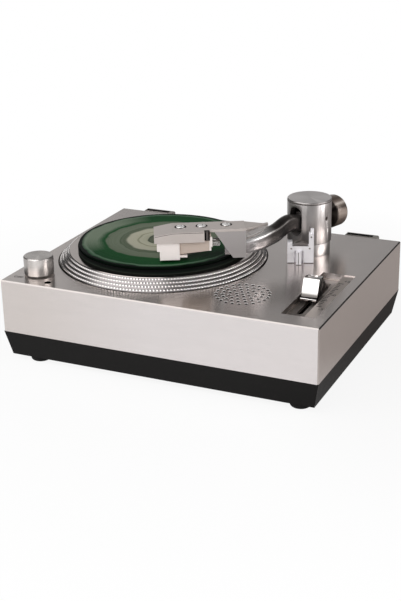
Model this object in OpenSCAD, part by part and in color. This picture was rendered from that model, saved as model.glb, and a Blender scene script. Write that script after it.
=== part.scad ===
// Mini turntable for 3-inch records, with a belt drive, a built-in loudspeaker and a bent arm.
// Millimetres, +Z up. The origin is on the table, under the middle of the body. The front faces -Y.

/* [Body] */
// Width of the deck between the platter's well and the slider panel
arm_board_w = 27.1; // [26:0.1:30]
// Deck in front of the well
front_margin = 7.2; // [7:0.1:9]
// Deck behind the well
back_margin = 11; // [10.5:0.1:14]
// Height of the silver cover
cover_h = 24; // [22:0.5:28]
// Height of the black base
base_h = 11.5; // [10:0.5:14]
// How far each side of the base is drawn in at its bottom
base_taper = 2.3; // [1:0.1:3]
// Wall of the two shells
wall = 2.2; // [1.8:0.1:2.6]
// Thickness of the deck
deck_t = 2.4; // [2:0.1:2.8]
// Thickness of the base's floor
floor_t = 2; // [1.6:0.1:2.6]
// Chamfer along the cover's edges
edge_chamfer = 0.5; // [0.3:0.1:0.8]
// Height of the lip that locates the base in the cover
lip_h = 2; // [1.5:0.1:3]
// Thickness of that lip
lip_t = 1.2; // [0.8:0.1:1.6]

/* [Feet and screws] */
// Radius of a rubber foot
foot_r = 4.6; // [4:0.1:5]
// Height of a foot below the base
foot_h = 2.7; // [2:0.1:3.5]
// Rounding of a foot's lower edge
foot_round = 1.4; // [0.8:0.1:1.8]
// Distance of the left feet from the body's left side
foot_left_inset = 13.6; // [12:0.1:18]
// Distance of the right feet from the body's right side
foot_right_inset = 10; // [9:0.5:12]
// Distance of the feet from the front and the back
foot_depth_inset = 7.6; // [7.2:0.1:10]
// Radius of the foot's stud
foot_stud_r = 1.8; // [1.4:0.1:2.4]
// Distance of the case screws from the middle, sideways
screw_x = 46; // [43:0.5:49]
// Distance of the case screws from the front and the back
screw_inset = 7; // [6.5:0.5:8]
// Radius of a case screw's shank
screw_r = 1.5; // [1.2:0.1:1.8]
// Radius of a case screw's head
screw_head_r = 2.7; // [2.4:0.1:3]
// Height of a case screw's head
screw_head_h = 1.4; // [1.2:0.1:1.6]
// Radius of the posts that take the case screws
screw_post_r = 3.2; // [3:0.1:3.6]
// How far a case screw's head stands back in its hole
screw_sink = 0.1; // [0.05:0.05:0.2]
// Width of the slot in a screw's head
screw_slot_w = 0.6; // [0.5:0.1:0.8]
// Depth of the slot in a screw's head
screw_slot_depth = 0.4; // [0.3:0.05:0.5]

/* [Platter] */
// Radius of the platter at the deck
platter_r = 47.4; // [46:0.2:48]
// Gap between the platter and its well
well_gap = 0.5; // [0.4:0.1:0.8]
// Distance from the body's left side to the well
well_margin = 4.4; // [4.2:0.1:6]
// Depth of the well below the deck
well_depth = 6; // [5.5:0.1:7]
// Wall and floor of the well
well_wall = 1.2; // [1:0.1:1.3]
// Radius of the flat ring on the platter's top
ring_r = 42.4; // [41:0.2:43]
// Height of the flat ring above the deck
ring_h = 5; // [4.5:0.1:6]
// Thickness of the platter's top
platter_t = 2.2; // [1.8:0.1:2.6]
// How far the platter's skirt reaches below the deck
skirt_drop = 1.2; // [0.8:0.1:1.6]
// Height above the deck at which the platter's sloped rim begins
rim_lift = 0.2; // [0.1:0.05:0.4]
// Thickness of the platter's skirt
skirt_t = 2; // [1.6:0.1:2.4]
// Radius of the platter's hub
hub_r = 8; // [7:0.2:10]
// Gap between the platter and the well's floor
floor_gap = 0.8; // [0.6:0.1:1.2]
// Radius of the mat
mat_r = 38.6; // [38:0.1:40]
// Thickness of the mat
mat_t = 1.8; // [1.2:0.1:2.2]
// Diameter of the record
record_d = 76.2; // [74:0.1:77]
// Thickness of the record
record_t = 1.2; // [1:0.1:1.6]

/* [Spindle] */
// Radius of the pin that the record fits over
spindle_r = 3.9; // [3.7:0.05:4.1]
// How much thinner the pin is above the record
spindle_lead = 0.4; // [0.3:0.05:0.6]
// Height of the pin above the record
spindle_h = 4; // [3:0.1:5]
// Chamfer at the pin's top
spindle_tip = 1; // [0.6:0.1:1.4]
// Radius of the shaft in the bearing
shaft_r = 2.5; // [2:0.1:2.8]
// Outer radius of the bearing bush
bush_r = 4.4; // [4:0.1:5]
// Radius of the bush's flange
bush_flange_r = 6; // [5.5:0.1:7]
// Thickness of the bush's flange
bush_flange_t = 0.8; // [0.6:0.1:1]
// Length of the bush below the well's floor
bush_l = 10; // [8:0.5:11]
// Thickness of the bush's closed end
bush_end = 1.5; // [1.2:0.1:2]

/* [Drive] */
// Gap between the pulley's flanges and the drum under the platter
drum_gap = 2.6; // [2.2:0.1:3]
// Gap between those flanges and the platter's skirt
skirt_gap = 3; // [2.6:0.1:3.4]
// Wall of the drum
drum_t = 2; // [1.6:0.1:2.6]
// Width of the belt
belt_w = 3; // [2.5:0.1:3.2]
// Thickness of the belt
belt_t = 0.6; // [0.4:0.05:0.8]
// Radius of the motor pulley under the belt
pulley_r = 2.5; // [2.2:0.1:2.8]
// Height of the pulley's two flanges
pulley_flange_t = 0.5; // [0.4:0.1:0.6]
// How far the pulley's flanges stand out
pulley_flange = 0.9; // [0.7:0.05:1]
// Direction of the motor, seen from the spindle
motor_dir = 150; // [140:1:160]
// Radius of the motor
motor_r = 11; // [10:0.2:12]
// Height of the motor
motor_h = 13; // [11:0.5:14]
// Radius of the motor shaft
motor_shaft_r = 1; // [0.8:0.1:1.2]
// Thickness of the motor's rubber ring
motor_ring_t = 1.5; // [1.2:0.1:2]
// How far the rubber ring stands out round the motor
motor_rim = 2.4; // [1.5:0.1:2.6]
// Gap between the pulley and the hole that it stands in
pulley_room = 0.8; // [0.6:0.1:1]
// Radius of the motor's two fixing screws
motor_screw_r = 1; // [0.8:0.1:1.2]
// Distance of those screws from the motor's rim
motor_screw_inset = 2.5; // [2.2:0.1:2.8]
// Depth of the screw holes in the motor
motor_thread = 4; // [3:0.5:5]

/* [Knob] */
// Distance of the knob from the body's left side
knob_inset_x = 11.8; // [11:0.1:13]
// Distance of the knob from the body's front
knob_inset_y = 13.5; // [13:0.1:15]
// Radius of the knob
knob_r = 6.57; // [6:0.05:7]
// Height of the knob
knob_h = 7.9; // [7:0.1:9]
// Gap under the knob
knob_gap = 0.7; // [0.5:0.1:1]
// Chamfer of the knob's rim
knob_chamfer = 0.35; // [0.2:0.05:0.6]
// Radius of the control's shaft
knob_shaft_r = 2.5; // [2:0.1:3]
// Wall of the threaded neck round the shaft
neck_t = 1.2; // [1:0.1:1.6]
// Side of the control's square body
pot_side = 11; // [10:0.5:11.5]
// Height of the control's body
pot_h = 7; // [6:0.5:8]
// Distance of the indicator from the knob, sideways
led_dx = 9.4; // [9:0.1:10]
// Distance of the indicator from the knob, forwards
led_dy = 8.5; // [8:0.1:9]
// Radius of the indicator lens
led_r = 1.5; // [1.2:0.1:1.8]
// Length of the indicator below the deck
led_l = 5; // [4:0.5:6]

/* [Loudspeaker] */
// Radius of the field of sound holes
grille_r = 12; // [11.5:0.1:12.4]
// Radius of one sound hole
hole_r = 0.7; // [0.5:0.05:0.8]
// Number of rings of sound holes
grille_rings = 4; // [3:1:4]
// Sound holes that each ring has more than the ring inside it
ring_step = 6; // [5:1:6]
// Gap between the sound holes and the well
grille_gap = 1.4; // [1.4:0.1:2]
// Direction of the sound holes, seen from the spindle
grille_dir = -30.9; // [-33:0.1:-29]
// Depth of the loudspeaker
speaker_depth = 7; // [6:0.5:8]
// Radius of the loudspeaker's magnet
magnet_r = 7; // [6:0.2:7.4]
// Height of the magnet
magnet_h = 4.5; // [4:0.5:6]
// Gap between the loudspeaker and the well, and round its cone
speaker_gap = 0.3; // [0.2:0.05:0.4]
// Rim of the loudspeaker's basket
speaker_rim = 1.2; // [1:0.1:1.4]
// Thickness of the basket's sheet
speaker_skin = 1; // [0.8:0.1:1.2]
// Thickness of the cone
cone_t = 0.8; // [0.6:0.1:1]
// Radius of the cone's flat middle
coil_r = 3; // [2.6:0.1:3.4]

/* [Slider] */
// Width of the sunk panel
panel_w = 14.7; // [14.2:0.1:15.5]
// Length of the sunk panel
panel_l = 51.3; // [50:0.1:54]
// Distance of the panel from the body's right side
panel_inset_x = 5; // [4.8:0.1:5.6]
// Distance of the panel from the body's front
panel_inset_y = 9.7; // [9:0.1:11]
// Depth of the channel beside the scale
channel_depth = 3; // [2.9:0.1:3.4]
// Width of the scale strip
scale_w = 5.2; // [4.8:0.1:5.4]
// How far the scale strip lies below the deck
scale_drop = 0.4; // [0.3:0.05:0.6]
// Thickness of the panel
panel_t = 2; // [1.6:0.1:2.4]
// Flange of the panel under the deck
panel_flange = 1.8; // [1.4:0.1:2]
// Distance of the slot from the channel's left side
slot_inset = 4.4; // [4.3:0.1:4.6]
// Width of the slot
slot_w = 2.5; // [2.3:0.1:2.8]
// Length of the slot
slot_l = 37.5; // [36:0.5:39]
// Shift of the slot's middle towards the back
slot_shift = 1.9; // [1.5:0.1:2.3]
// Width of the fader cap
cap_w = 7.1; // [6.6:0.1:7.4]
// Height of the fader cap above the deck
cap_h = 7.1; // [6.5:0.1:8]
// How far the cap's foot lies below the deck
cap_drop = 1.3; // [1.1:0.1:1.5]
// Length of the cap's front lip, from the stem
cap_front = 7.8; // [7.4:0.1:8.2]
// Length of the cap's sloped back, from the stem
cap_back = 8.3; // [7.8:0.1:8.6]
// How much narrower the cap's back is on each side
cap_step = 0.4; // [0.2:0.05:0.6]
// Height of the cap's front lip
cap_lip = 0.9; // [0.7:0.1:1.1]
// Length of the slope behind that lip
cap_run = 1.3; // [1:0.1:1.6]
// Bevel of the cap's edges
cap_bevel = 0.5; // [0.3:0.05:0.6]
// Distance from the stem to the back of the cap's crest
cap_crest = 1; // [0.8:0.1:1.2]
// Width of the stem, across the slot
stem_w = 1.9; // [1.7:0.1:2]
// Length of the stem, along the slot
stem_l = 5; // [4:0.2:6]
// Height of the slide control's body
slide_h = 7; // [6:0.5:8]
// Width of the slide control's body
slide_w = 9; // [8:0.2:9.4]
// Length of the slide control beyond each end of the slot
slide_end = 3; // [2:0.5:4]

/* [Arm post] */
// Gap between the well and the post's base
post_gap = 9.4; // [9:0.1:10]
// Direction of the post, seen from the spindle
post_dir = 27.05; // [25:0.05:29]
// Radius of the post's base
post_base_r = 9.5; // [9:0.1:9.8]
// Height of the post's base
post_base_h = 6; // [5.5:0.1:6.5]
// Radius of the turning post
turret_r = 10.05; // [9.8:0.05:10.2]
// Height of the turning post's top above the deck
turret_top = 25.7; // [25:0.1:27]
// Thickness of the post's cap
turret_cap_t = 1; // [0.8:0.1:1.2]
// Chamfer of the cap's rim
turret_chamfer = 0.3; // [0.2:0.05:0.4]
// Seam between the base and the turning post
turret_seam = 0.2; // [0.15:0.05:0.3]
// Radius of the stud that the post turns on
stud_r = 3; // [2.5:0.1:3.4]
// Height of that stud above the base
stud_h = 3; // [2.6:0.1:3.2]
// Radius of the base's thread through the deck
thread_r = 4; // [3.5:0.1:4.5]
// Thickness of the nut under the deck
nut_t = 3.5; // [3:0.1:4]
// Length of the thread below the nut
thread_end = 1; // [0.5:0.1:1.5]
// Width of the slot that the arm goes through
arm_slot_w = 6.6; // [6.4:0.1:7]
// Height of the slot's bottom above the deck
arm_slot_low = 9.7; // [9.5:0.1:10]
// Height of the slot's top above the deck
arm_slot_high = 23.3; // [23:0.1:23.6]
// Radius of the cross pin
pin_r = 0.9; // [0.7:0.05:1.1]
// Height of the cross pin above the deck
pin_h = 17.5; // [17.2:0.1:17.8]
// How far the cross pin's ends stand back from the post's side
pin_sink = 0.2; // [0.1:0.05:0.3]

/* [Arm] */
// Direction of the arm at the post
arm_dir = -110; // [-112:0.5:-108]
// Distance from the post to the arm's bend
bend_reach = 38.5; // [37.5:0.1:39.5]
// Radius of the bend
bend_r = 18; // [14:0.5:22]
// Direction of the headshell, from its nose to the bend
head_dir = 27.6; // [26:0.2:29]
// Width of the arm at the headshell
arm_w = 4.6; // [4.2:0.1:4.8]
// Height of the arm at the headshell
arm_h = 7.2; // [6.6:0.1:7.4]
// How much wider the arm is in its middle
arm_swell_w = 1.3; // [0.8:0.1:1.4]
// How much higher the arm is in its middle
arm_swell_h = 0.9; // [0.5:0.1:1]
// How far the swell's middle lies towards the post: 1 is none
swell_skew = 0.75; // [0.7:0.05:1]
// Share of the arm's way that is level at each end
arm_level = 0.12; // [0.1:0.01:0.14]
// Rounding of the arm's section
arm_round = 1.1; // [0.8:0.1:1.6]
// Height of the arm's middle above the deck at the post
arm_mid = 15.4; // [15.2:0.1:15.6]
// Height of the arm's middle above the record at the headshell
arm_head_mid = 4.4; // [4.3:0.1:4.8]
// How far the arm runs on past the bend, into the headshell
arm_tail = 12; // [10.5:0.5:14]
// Width of the block on the cross pin
block_w = 6; // [5.6:0.1:6]
// Length of the block, before and behind the pin
block_l = 6; // [5:0.2:6.5]
// Height of the block above and below the pin
block_top = 2.2; // [2:0.1:2.4]
// Radius of the weight
weight_r = 7.3; // [6.8:0.1:7.6]
// Distance of the weight from the post's axis
weight_near = 12; // [12:0.1:13]
// Thickness of the weight
weight_t = 7.2; // [6.5:0.1:8]
// Chamfer of the weight's rims
weight_chamfer = 0.5; // [0.3:0.1:0.8]
// Radius of the rod that carries the weight
rod_r = 2; // [1.6:0.1:2.4]

/* [Headshell] */
// Distance of the nose from the bend
nose_reach = 42.5; // [41.5:0.1:43.5]
// Length of the drooped nose
nose_l = 7.9; // [7:0.1:8.6]
// Droop of the nose
nose_droop = 1.4; // [1:0.1:1.8]
// Width from the middle to the front side
shell_front = 7.15; // [7:0.05:7.5]
// Width from the middle to the back side
shell_back = 7; // [6.6:0.1:7.4]
// Height of the shell's top above the record
shell_top = 13.7; // [13.4:0.1:14.2]
// Thickness of the shell's plate
shell_t = 1.2; // [1:0.1:1.4]
// Height of the shell's underside above the record, at its front wall
wall_low = 9.1; // [9:0.1:9.4]
// Thickness of the shell's walls
shell_wall = 1; // [0.8:0.1:1.2]
// Distance from the bend to the end of the front wall
front_end = 21; // [20.4:0.1:21.6]
// Distance from the bend to the shell's end
shell_end = 3; // [2.6:0.1:3.4]
// Distance of the side plate from the middle
plate_front = 4.1; // [4:0.05:4.4]
// Thickness of the side plate
plate_t = 1; // [0.8:0.1:1]
// Distance from the bend to the side plate's far end, at the top
plate_top_end = 16.5; // [16:0.1:17]
// Distance from the bend to the side plate's far end, at the bottom
plate_low_end = 8.6; // [8:0.1:9.2]
// Height of the side plate's foot above the record
plate_low = 0.6; // [0.5:0.05:1]
// Length of the web from the shell to the arm, past the bend
web_reach = 14; // [12:0.5:16]
// Thickness of that web
web_t = 0.8; // [0.6:0.1:1]
// Gap between that web and the arm
web_gap = 0.15; // [0.1:0.05:0.3]
// Gap between the rear headshell screw and the bracket's lug
lug_gap = 0.4; // [0.3:0.1:0.8]
// Radius of a headshell screw
shell_screw_r = 2.6; // [2.2:0.1:2.8]
// Depth of a headshell screw's seat
shell_screw_seat = 0.6; // [0.5:0.05:0.8]
// How far a headshell screw stands out of its seat
shell_screw_proud = 0.1; // [0.05:0.05:0.2]
// Radius of a headshell screw's shank
shell_shank_r = 1; // [0.8:0.1:1.2]

/* [Cartridge] */
// Distance from the bend to the cartridge's front
cart_front = 31.6; // [31:0.1:32]
// Length of the cartridge
cart_l = 13.5; // [13:0.1:14.2]
// Half width of the cartridge
cart_half = 5.5; // [5:0.1:5.8]
// Height of the cartridge's underside above the record, at its front
cart_low = 3.5; // [3.3:0.1:4]
// Rise of the cartridge's underside towards the arm
cart_rise = 1.2; // [0.8:0.1:1.6]
// Gap between the cartridge and the shell's plate
cart_gap = 0.5; // [0.4:0.05:0.7]
// Length of the stylus holder
holder_l = 9.8; // [9:0.1:10]
// Half width of the stylus holder
holder_half = 6.4; // [6:0.1:6.6]
// Height of the holder's foot above the record
holder_low = 1.1; // [0.9:0.1:1.3]
// Step at the holder's front edge
holder_step = 1.2; // [0.8:0.1:1.4]
// Height of that step above the holder's foot
holder_step_h = 4; // [3:0.1:5]
// Length of the holder's lip under the cartridge
holder_lip = 3.2; // [3:0.1:3.6]
// Height of the lip's top above the holder's foot
holder_lip_h = 1.9; // [1.8:0.1:2.2]
// Thickness of the holder's lip
holder_lip_t = 0.8; // [0.6:0.1:0.9]
// Gap between the stylus and the record
stylus_gap = 0.25; // [0.2:0.05:0.3]
// Radius of the cantilever
cantilever_r = 0.4; // [0.3:0.05:0.45]
// Reach of the stylus behind the holder
stylus_reach = 3.6; // [3.2:0.1:4]
// Height of the stylus's cone
stylus_h = 1.1; // [1:0.05:1.2]
// Radius of the stylus's point
stylus_r = 0.1; // [0.08:0.01:0.15]
// Radius of a terminal pin
terminal_r = 0.45; // [0.35:0.05:0.55]
// Length of the terminal pins
terminal_l = 4; // [3.5:0.1:4.5]
// Distance between the terminal pins
terminal_pitch = 2; // [1.8:0.1:2.4]
// Height of the terminal pins above the cartridge's rear foot
terminal_h = 2.2; // [1.6:0.1:2.6]
// Length of a terminal pin's sleeve
sleeve_l = 2.2; // [1.8:0.1:2.6]
// Wall of a terminal pin's sleeve
sleeve_t = 0.3; // [0.2:0.05:0.35]

/* [Arm rest] */
// Swing of the arm from the record to its rest
park_swing = 26; // [25.5:0.1:26.5]
// Distance of the rest from the post's axis
rest_reach = 15.8; // [15.4:0.1:16.4]
// Turn of the rest about its middle
rest_turn = 20; // [14:1:22]
// Width of the rest
rest_w = 11.7; // [11.6:0.1:12.6]
// Depth of the rest
rest_depth = 3.4; // [3.2:0.1:4]
// Width of a prong
prong_w = 2.2; // [1.8:0.1:2.4]
// Height of the low prong above the deck
prong_low = 10; // [9.6:0.1:10.3]
// Height of the tall prong above the deck
prong_high = 13.8; // [13:0.1:14.4]
// Height of the knob on the tall prong
prong_knob_h = 2; // [1.5:0.1:2.4]
// Radius of that knob
prong_knob_r = 0.8; // [0.6:0.1:1]
// Height of the rest's bar above the deck
rest_bar = 8; // [7.6:0.1:8.4]
// Height of the bump between the prongs
rest_bump = 1.5; // [1:0.1:1.8]
// Gap between that bump and a prong
bump_gap = 0.4; // [0.2:0.1:0.6]
// Distance of the bump from the rest's front
bump_inset = 0.8; // [0.5:0.1:1.2]
// Height of the two grooves in the rest's front
groove_h = 5.9; // [5:0.1:6.5]
// Width of a groove
groove_w = 0.9; // [0.7:0.1:1.1]
// Depth of a groove
groove_depth = 1.5; // [1:0.1:2]
// Width of the rib between the grooves
rib_w = 2.3; // [2:0.1:2.6]
// How far the rib stands out at the front
rib_out = 2.6; // [2:0.1:3]
// Shift of the rib towards the low prong
rib_shift = 0.7; // [0.4:0.1:1]
// Radius of the rest's peg in the deck
peg_r = 1.6; // [1.2:0.1:1.8]

/* [Back edge] */
// Length of a dust-cover socket
socket_l = 16; // [15:0.2:18]
// Depth of a socket behind the body
socket_d = 3.5; // [3.2:0.1:4]
// Height of a socket
socket_h = 11; // [9:0.5:13]
// Height of a socket's top above the deck
socket_lift = 0.2; // [0.1:0.05:0.4]
// Distance of the left socket from the body's left side
socket_left_inset = 12.1; // [11:0.1:15]
// Distance of the right socket from the body's right side
socket_right_inset = 11.5; // [9:0.1:12]
// Length of a socket's slot
socket_slot_l = 12.4; // [11:0.2:13]
// Width of a socket's slot
socket_slot_w = 1.9; // [1.6:0.1:2.2]
// Depth of a socket's slot
socket_slot_h = 8; // [6:0.5:8]
// Distance of the slot from the socket's left end
socket_slot_inset = 1.2; // [1:0.1:1.6]
// Wall between the slot and the body
socket_front = 0.6; // [0.5:0.1:0.8]
// Depth of the black pad below the slot's mouth
pad_drop = 1.2; // [1:0.1:2]
// Position of the audio socket, from the middle to the right
audio_x = 8; // [4:0.5:12]
// Radius of the audio socket's bore
audio_r = 1.8; // [1.75:0.05:1.9]
// Depth of the audio socket's bore
audio_depth = 11; // [10:0.5:12]
// Position of the power socket, from the middle to the right
power_x = 24; // [20:0.5:28]
// Radius of the power socket's bore
power_r = 2.75; // [2.5:0.05:3]
// Radius of the power socket's centre pin
power_pin_r = 0.8; // [0.6:0.05:1]
// Depth of the power socket's bore
power_depth = 9; // [8:0.5:10]
// How far the power socket's pin stands back from the body's back
power_recess = 1; // [0.5:0.1:2]
// Height of both sockets above the cover's lower edge
rear_socket_h = 9; // [8:0.5:10]
// Wall round a rear socket's bore
rear_socket_wall = 1.6; // [1.2:0.1:2]
// How far a rear socket's body stands out round its neck
rear_rim = 0.6; // [0.4:0.1:1]

/* [Circuit board] */
// Width of the board
board_w = 56; // [50:1:60]
// Depth of the board
board_d = 40; // [36:1:44]
// Thickness of the board
board_t = 1.6; // [1.2:0.1:2]
// Height of the board above the base's floor
board_lift = 4; // [3:0.5:5]
// Position of the board's middle, from the middle to the right
board_x = 32; // [28:1:36]
// Position of the board's middle, towards the back
board_y = 8; // [4:1:12]
// Distance of the board's screws from its edges
board_inset = 4; // [3.5:0.5:5]
// Radius of the posts under the board
board_post_r = 2.6; // [2.2:0.1:3]
// Radius of the board's screws
board_screw_r = 1.1; // [0.9:0.1:1.3]
// Height of the heads of the board's screws
board_head_h = 1; // [0.8:0.1:1.4]
// Radius of the two capacitors
can_r = 3.1; // [2.5:0.1:3.4]
// Height of the two capacitors
can_h = 7; // [6:0.5:8]
// Side of the amplifier chip
chip_side = 10; // [8:0.5:11]
// Height of the amplifier chip
chip_h = 1.6; // [1.2:0.1:2]
// Width of the plug for the leads
plug_w = 5; // [4:0.5:6]
// Length of the plug for the leads
plug_l = 16; // [12:1:18]

/* [Fits] */
// Clearance between a turning shaft and its bearing
run_clear = 0.05; // [0.03:0.01:0.08]
// Clearance between pieces that are fixed in each other
fit_clear = 0.03; // [0.02:0.01:0.06]
// End gap of a shaft in its bearing
thrust_gap = 0.2; // [0.15:0.05:0.3]
// Clearance between the belt and what it runs on
belt_clear = 0.12; // [0.08:0.01:0.2]

/* [Hidden] */

$fn = 64;
// Overshoot of a cut, so that it leaves no skin
over = 1;
// Share of a motor's or a control's height that its shaft reaches into
shaft_share = 0.7;
// Radius of a small screw's head or of the nut's corners, over the shank's
head_ratio = 1.7;
// Share of a screw head's diameter that its slot takes
slot_share = 0.75;
well_r = platter_r + well_gap;
body_w = well_margin + 2 * well_r + arm_board_w + panel_w + panel_inset_x;
body_d = front_margin + 2 * well_r + back_margin;
// The body stands forward by half a socket, so that the origin is in the middle of the whole
body_y = -socket_d / 2;
front_y = body_y - body_d / 2;
back_y = body_y + body_d / 2;
cover_z = foot_h + base_h;
deck_z = cover_z + cover_h;
under_deck = deck_z - deck_t;
base_floor_z = foot_h + floor_t;
well_z = deck_z - well_depth;
well_under = well_z - well_wall;
platter_x = -body_w / 2 + well_margin + well_r;
platter_y = front_y + front_margin + well_r;
ring_z = deck_z + ring_h;
mat_top = ring_z + mat_t;
record_top = mat_top + record_t;
record_r = record_d / 2;
hub_low = well_z + bush_flange_t + thrust_gap;
drum_low = well_z + floor_gap;
belt_z = drum_low + pulley_flange_t;
flange_r = pulley_r + pulley_flange;
motor_reach = platter_r - skirt_t - skirt_gap - flange_r;
drum_r = motor_reach - flange_r - drum_gap;
motor_x = platter_x + motor_reach * cos(motor_dir);
motor_y = platter_y + motor_reach * sin(motor_dir);
motor_ring_r = motor_r + motor_rim;
motor_hole_r = flange_r + pulley_room;
motor_screw_reach = motor_r - motor_screw_inset;
knob_x = -body_w / 2 + knob_inset_x;
knob_y = front_y + knob_inset_y;
neck_r = knob_shaft_r + run_clear + neck_t;
led_x = knob_x + led_dx;
led_y = knob_y - led_dy;
grille_reach = well_r + grille_gap + grille_r;
grille_x = platter_x + grille_reach * cos(grille_dir);
grille_y = platter_y + grille_reach * sin(grille_dir);
grille_pitch = (grille_r - hole_r) / grille_rings;
speaker_r = grille_reach - well_r - well_wall - speaker_gap;
panel_left = body_w / 2 - panel_inset_x - panel_w;
panel_front_y = front_y + panel_inset_y;
panel_mid_y = panel_front_y + panel_l / 2;
channel_w = panel_w - scale_w;
channel_z = deck_z - channel_depth;
panel_under = under_deck - panel_t;
slot_x = panel_left + slot_inset;
slot_y = panel_mid_y + slot_shift;
cap_z = deck_z - cap_drop;
cap_top_z = deck_z + cap_h;
stem_low = panel_under - slide_h / 2;
post_reach = well_r + post_gap + post_base_r;
post_x = platter_x + post_reach * cos(post_dir);
post_y = platter_y + post_reach * sin(post_dir);
turret_z = deck_z + post_base_h + turret_seam;
turret_cap_z = deck_z + turret_top - turret_cap_t;
pin_z = deck_z + pin_h;
bend_x = post_x + bend_reach * cos(arm_dir);
bend_y = post_y + bend_reach * sin(arm_dir);
shell_top_z = record_top + shell_top;
wall_low_z = record_top + wall_low;
shell_under_z = shell_top_z - shell_t;
cart_z = record_top + cart_low;
holder_z = record_top + holder_low;
rest_x = post_x + rest_reach * cos(arm_dir + park_swing);
rest_y = post_y + rest_reach * sin(arm_dir + park_swing);
rear_z = cover_z + rear_socket_h;
board_z = base_floor_z + board_lift;
board_mid_y = body_y + board_y;

// Headshell screws: distance from the bend and shift towards the back
shell_screws = [[31, 1], [21.8, 1.4], [11.1, 2.2]];

silver = [0.74, 0.72, 0.70];
pale_metal = [0.80, 0.78, 0.76];
dark_metal = [0.34, 0.30, 0.27];
black = [0.12, 0.11, 0.11];
brass = [0.72, 0.58, 0.32];

// A cylinder that stands at x, y with its foot at z
module rod(x, y, z, r, h) {
    translate([x, y, z]) cylinder(r = r, h = h);
}

// A box given by its two corners
module block(low, high) {
    translate(low) cube(high - low);
}

// Copies at the four corners of a rectangle about the middle
module corners(x, y) {
    for (sx = [-1, 1])
        for (sy = [-1, 1])
            translate([sx * x, sy * y, 0]) children();
}

// Copies under the four feet
module foot_places() {
    for (x = [-body_w / 2 + foot_left_inset, body_w / 2 - foot_right_inset])
        for (y = [-1, 1])
            translate([x, body_y + y * (body_d / 2 - foot_depth_inset), 0]) children();
}

module screw_places() {
    translate([0, body_y, 0]) corners(screw_x, body_d / 2 - screw_inset) children();
}

module board_places() {
    translate([board_x, board_mid_y, 0])
        corners(board_w / 2 - board_inset, board_d / 2 - board_inset) children();
}

// Sound holes: rings round one hole, each ring with more holes than the last
module sound_holes() {
    translate([grille_x, grille_y, under_deck - over]) {
        cylinder(r = hole_r, h = deck_t + 2 * over, $fn = 16);
        for (i = [1 : grille_rings])
            for (j = [0 : i * ring_step - 1])
                rotate(j * 360 / (i * ring_step))
                    translate([i * grille_pitch, 0, 0])
                        cylinder(r = hole_r, h = deck_t + 2 * over, $fn = 16);
    }
}

// The block of the cover with its top and upright edges chamfered: its plan, its front view and
// its side view are extruded past each other, and what they share is the block
module cover_block() {
    x = body_w / 2;
    y = body_d / 2;
    c = edge_chamfer;
    slope_z = deck_z - c - over;
    plan = [[-x + c, -y], [x - c, -y], [x, -y + c], [x, y - c], [x - c, y], [-x + c, y], [-x, y - c],
        [-x, -y + c]];
    front_view = [[-x - over, 0], [x + over, 0], [x + over, slope_z], [x - c, deck_z], [-x + c, deck_z],
        [-x - over, slope_z]];
    side_view = [[-y - over, 0], [y + over, 0], [y + over, slope_z], [0, deck_z - c + y],
        [-y - over, slope_z]];
    translate([0, body_y, 0]) intersection() {
        translate([0, 0, cover_z]) linear_extrude(cover_h + over) polygon(plan);
        translate([0, body_d, 0]) rotate([90, 0, 0]) linear_extrude(2 * body_d) polygon(front_view);
        translate([-body_w, 0, 0]) rotate([90, 0, 90]) linear_extrude(2 * body_w) polygon(side_view);
    }
}

module top_cover() {
    color(silver) difference() {
        union() {
            difference() {
                cover_block();
                block([-body_w / 2 + wall, front_y + wall, cover_z - over],
                    [body_w / 2 - wall, back_y - wall, under_deck]);
            }
            rod(platter_x, platter_y, well_under, well_r + well_wall, deck_z - deck_t / 2 - well_under);
            screw_places() rod(0, 0, cover_z, screw_post_r, cover_h - deck_t / 2);
        }
        rod(platter_x, platter_y, well_z, well_r, well_depth + over);
        rod(platter_x, platter_y, well_under - over, bush_r + fit_clear, well_wall + 2 * over);
        rod(motor_x, motor_y, well_under - over, motor_hole_r, well_wall + 2 * over);
        for (s = [-1, 1])
            translate([motor_x, motor_y, 0]) rotate(motor_dir + 90)
                rod(s * motor_screw_reach, 0, well_under - over, motor_screw_r + fit_clear,
                    well_wall + 2 * over);
        sound_holes();
        block([panel_left, panel_front_y, under_deck - over],
            [panel_left + panel_w, panel_front_y + panel_l, deck_z + over]);
        rod(knob_x, knob_y, under_deck - over, neck_r + fit_clear, deck_t + 2 * over);
        rod(led_x, led_y, under_deck - over, led_r + fit_clear, deck_t + 2 * over);
        rod(post_x, post_y, under_deck - over, thread_r + fit_clear, deck_t + 2 * over);
        rod(rest_x, rest_y, under_deck - over, peg_r + fit_clear, deck_t + 2 * over);
        screw_places() rod(0, 0, cover_z - over, screw_r + fit_clear, cover_h - deck_t);
        rear_hole(audio_x, audio_r);
        rear_hole(power_x, power_r);
    }
}

// Hole in the cover's back wall for a socket with the given bore
module rear_hole(x, r) {
    translate([x, back_y + over, rear_z]) rotate([90, 0, 0])
        cylinder(r = r + rear_socket_wall + fit_clear, h = wall + 2 * over);
}

// The base's outside, drawn in towards the bottom on all four sides
module base_block() {
    lean = atan(base_taper / base_h);
    difference() {
        block([-body_w / 2, -body_d / 2, foot_h], [body_w / 2, body_d / 2, cover_z]);
        for (s = [-1, 1]) {
            translate([0, s * body_d / 2, cover_z]) rotate([s * -lean, 0, 0])
                translate([-body_w, s > 0 ? 0 : -body_d, -body_d])
                    cube([2 * body_w, body_d, 2 * body_d]);
            translate([s * body_w / 2, 0, cover_z]) rotate([0, s * lean, 0])
                translate([s > 0 ? 0 : -body_w, -body_d, -body_w])
                    cube([body_w, 2 * body_d, 2 * body_w]);
        }
    }
}

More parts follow.
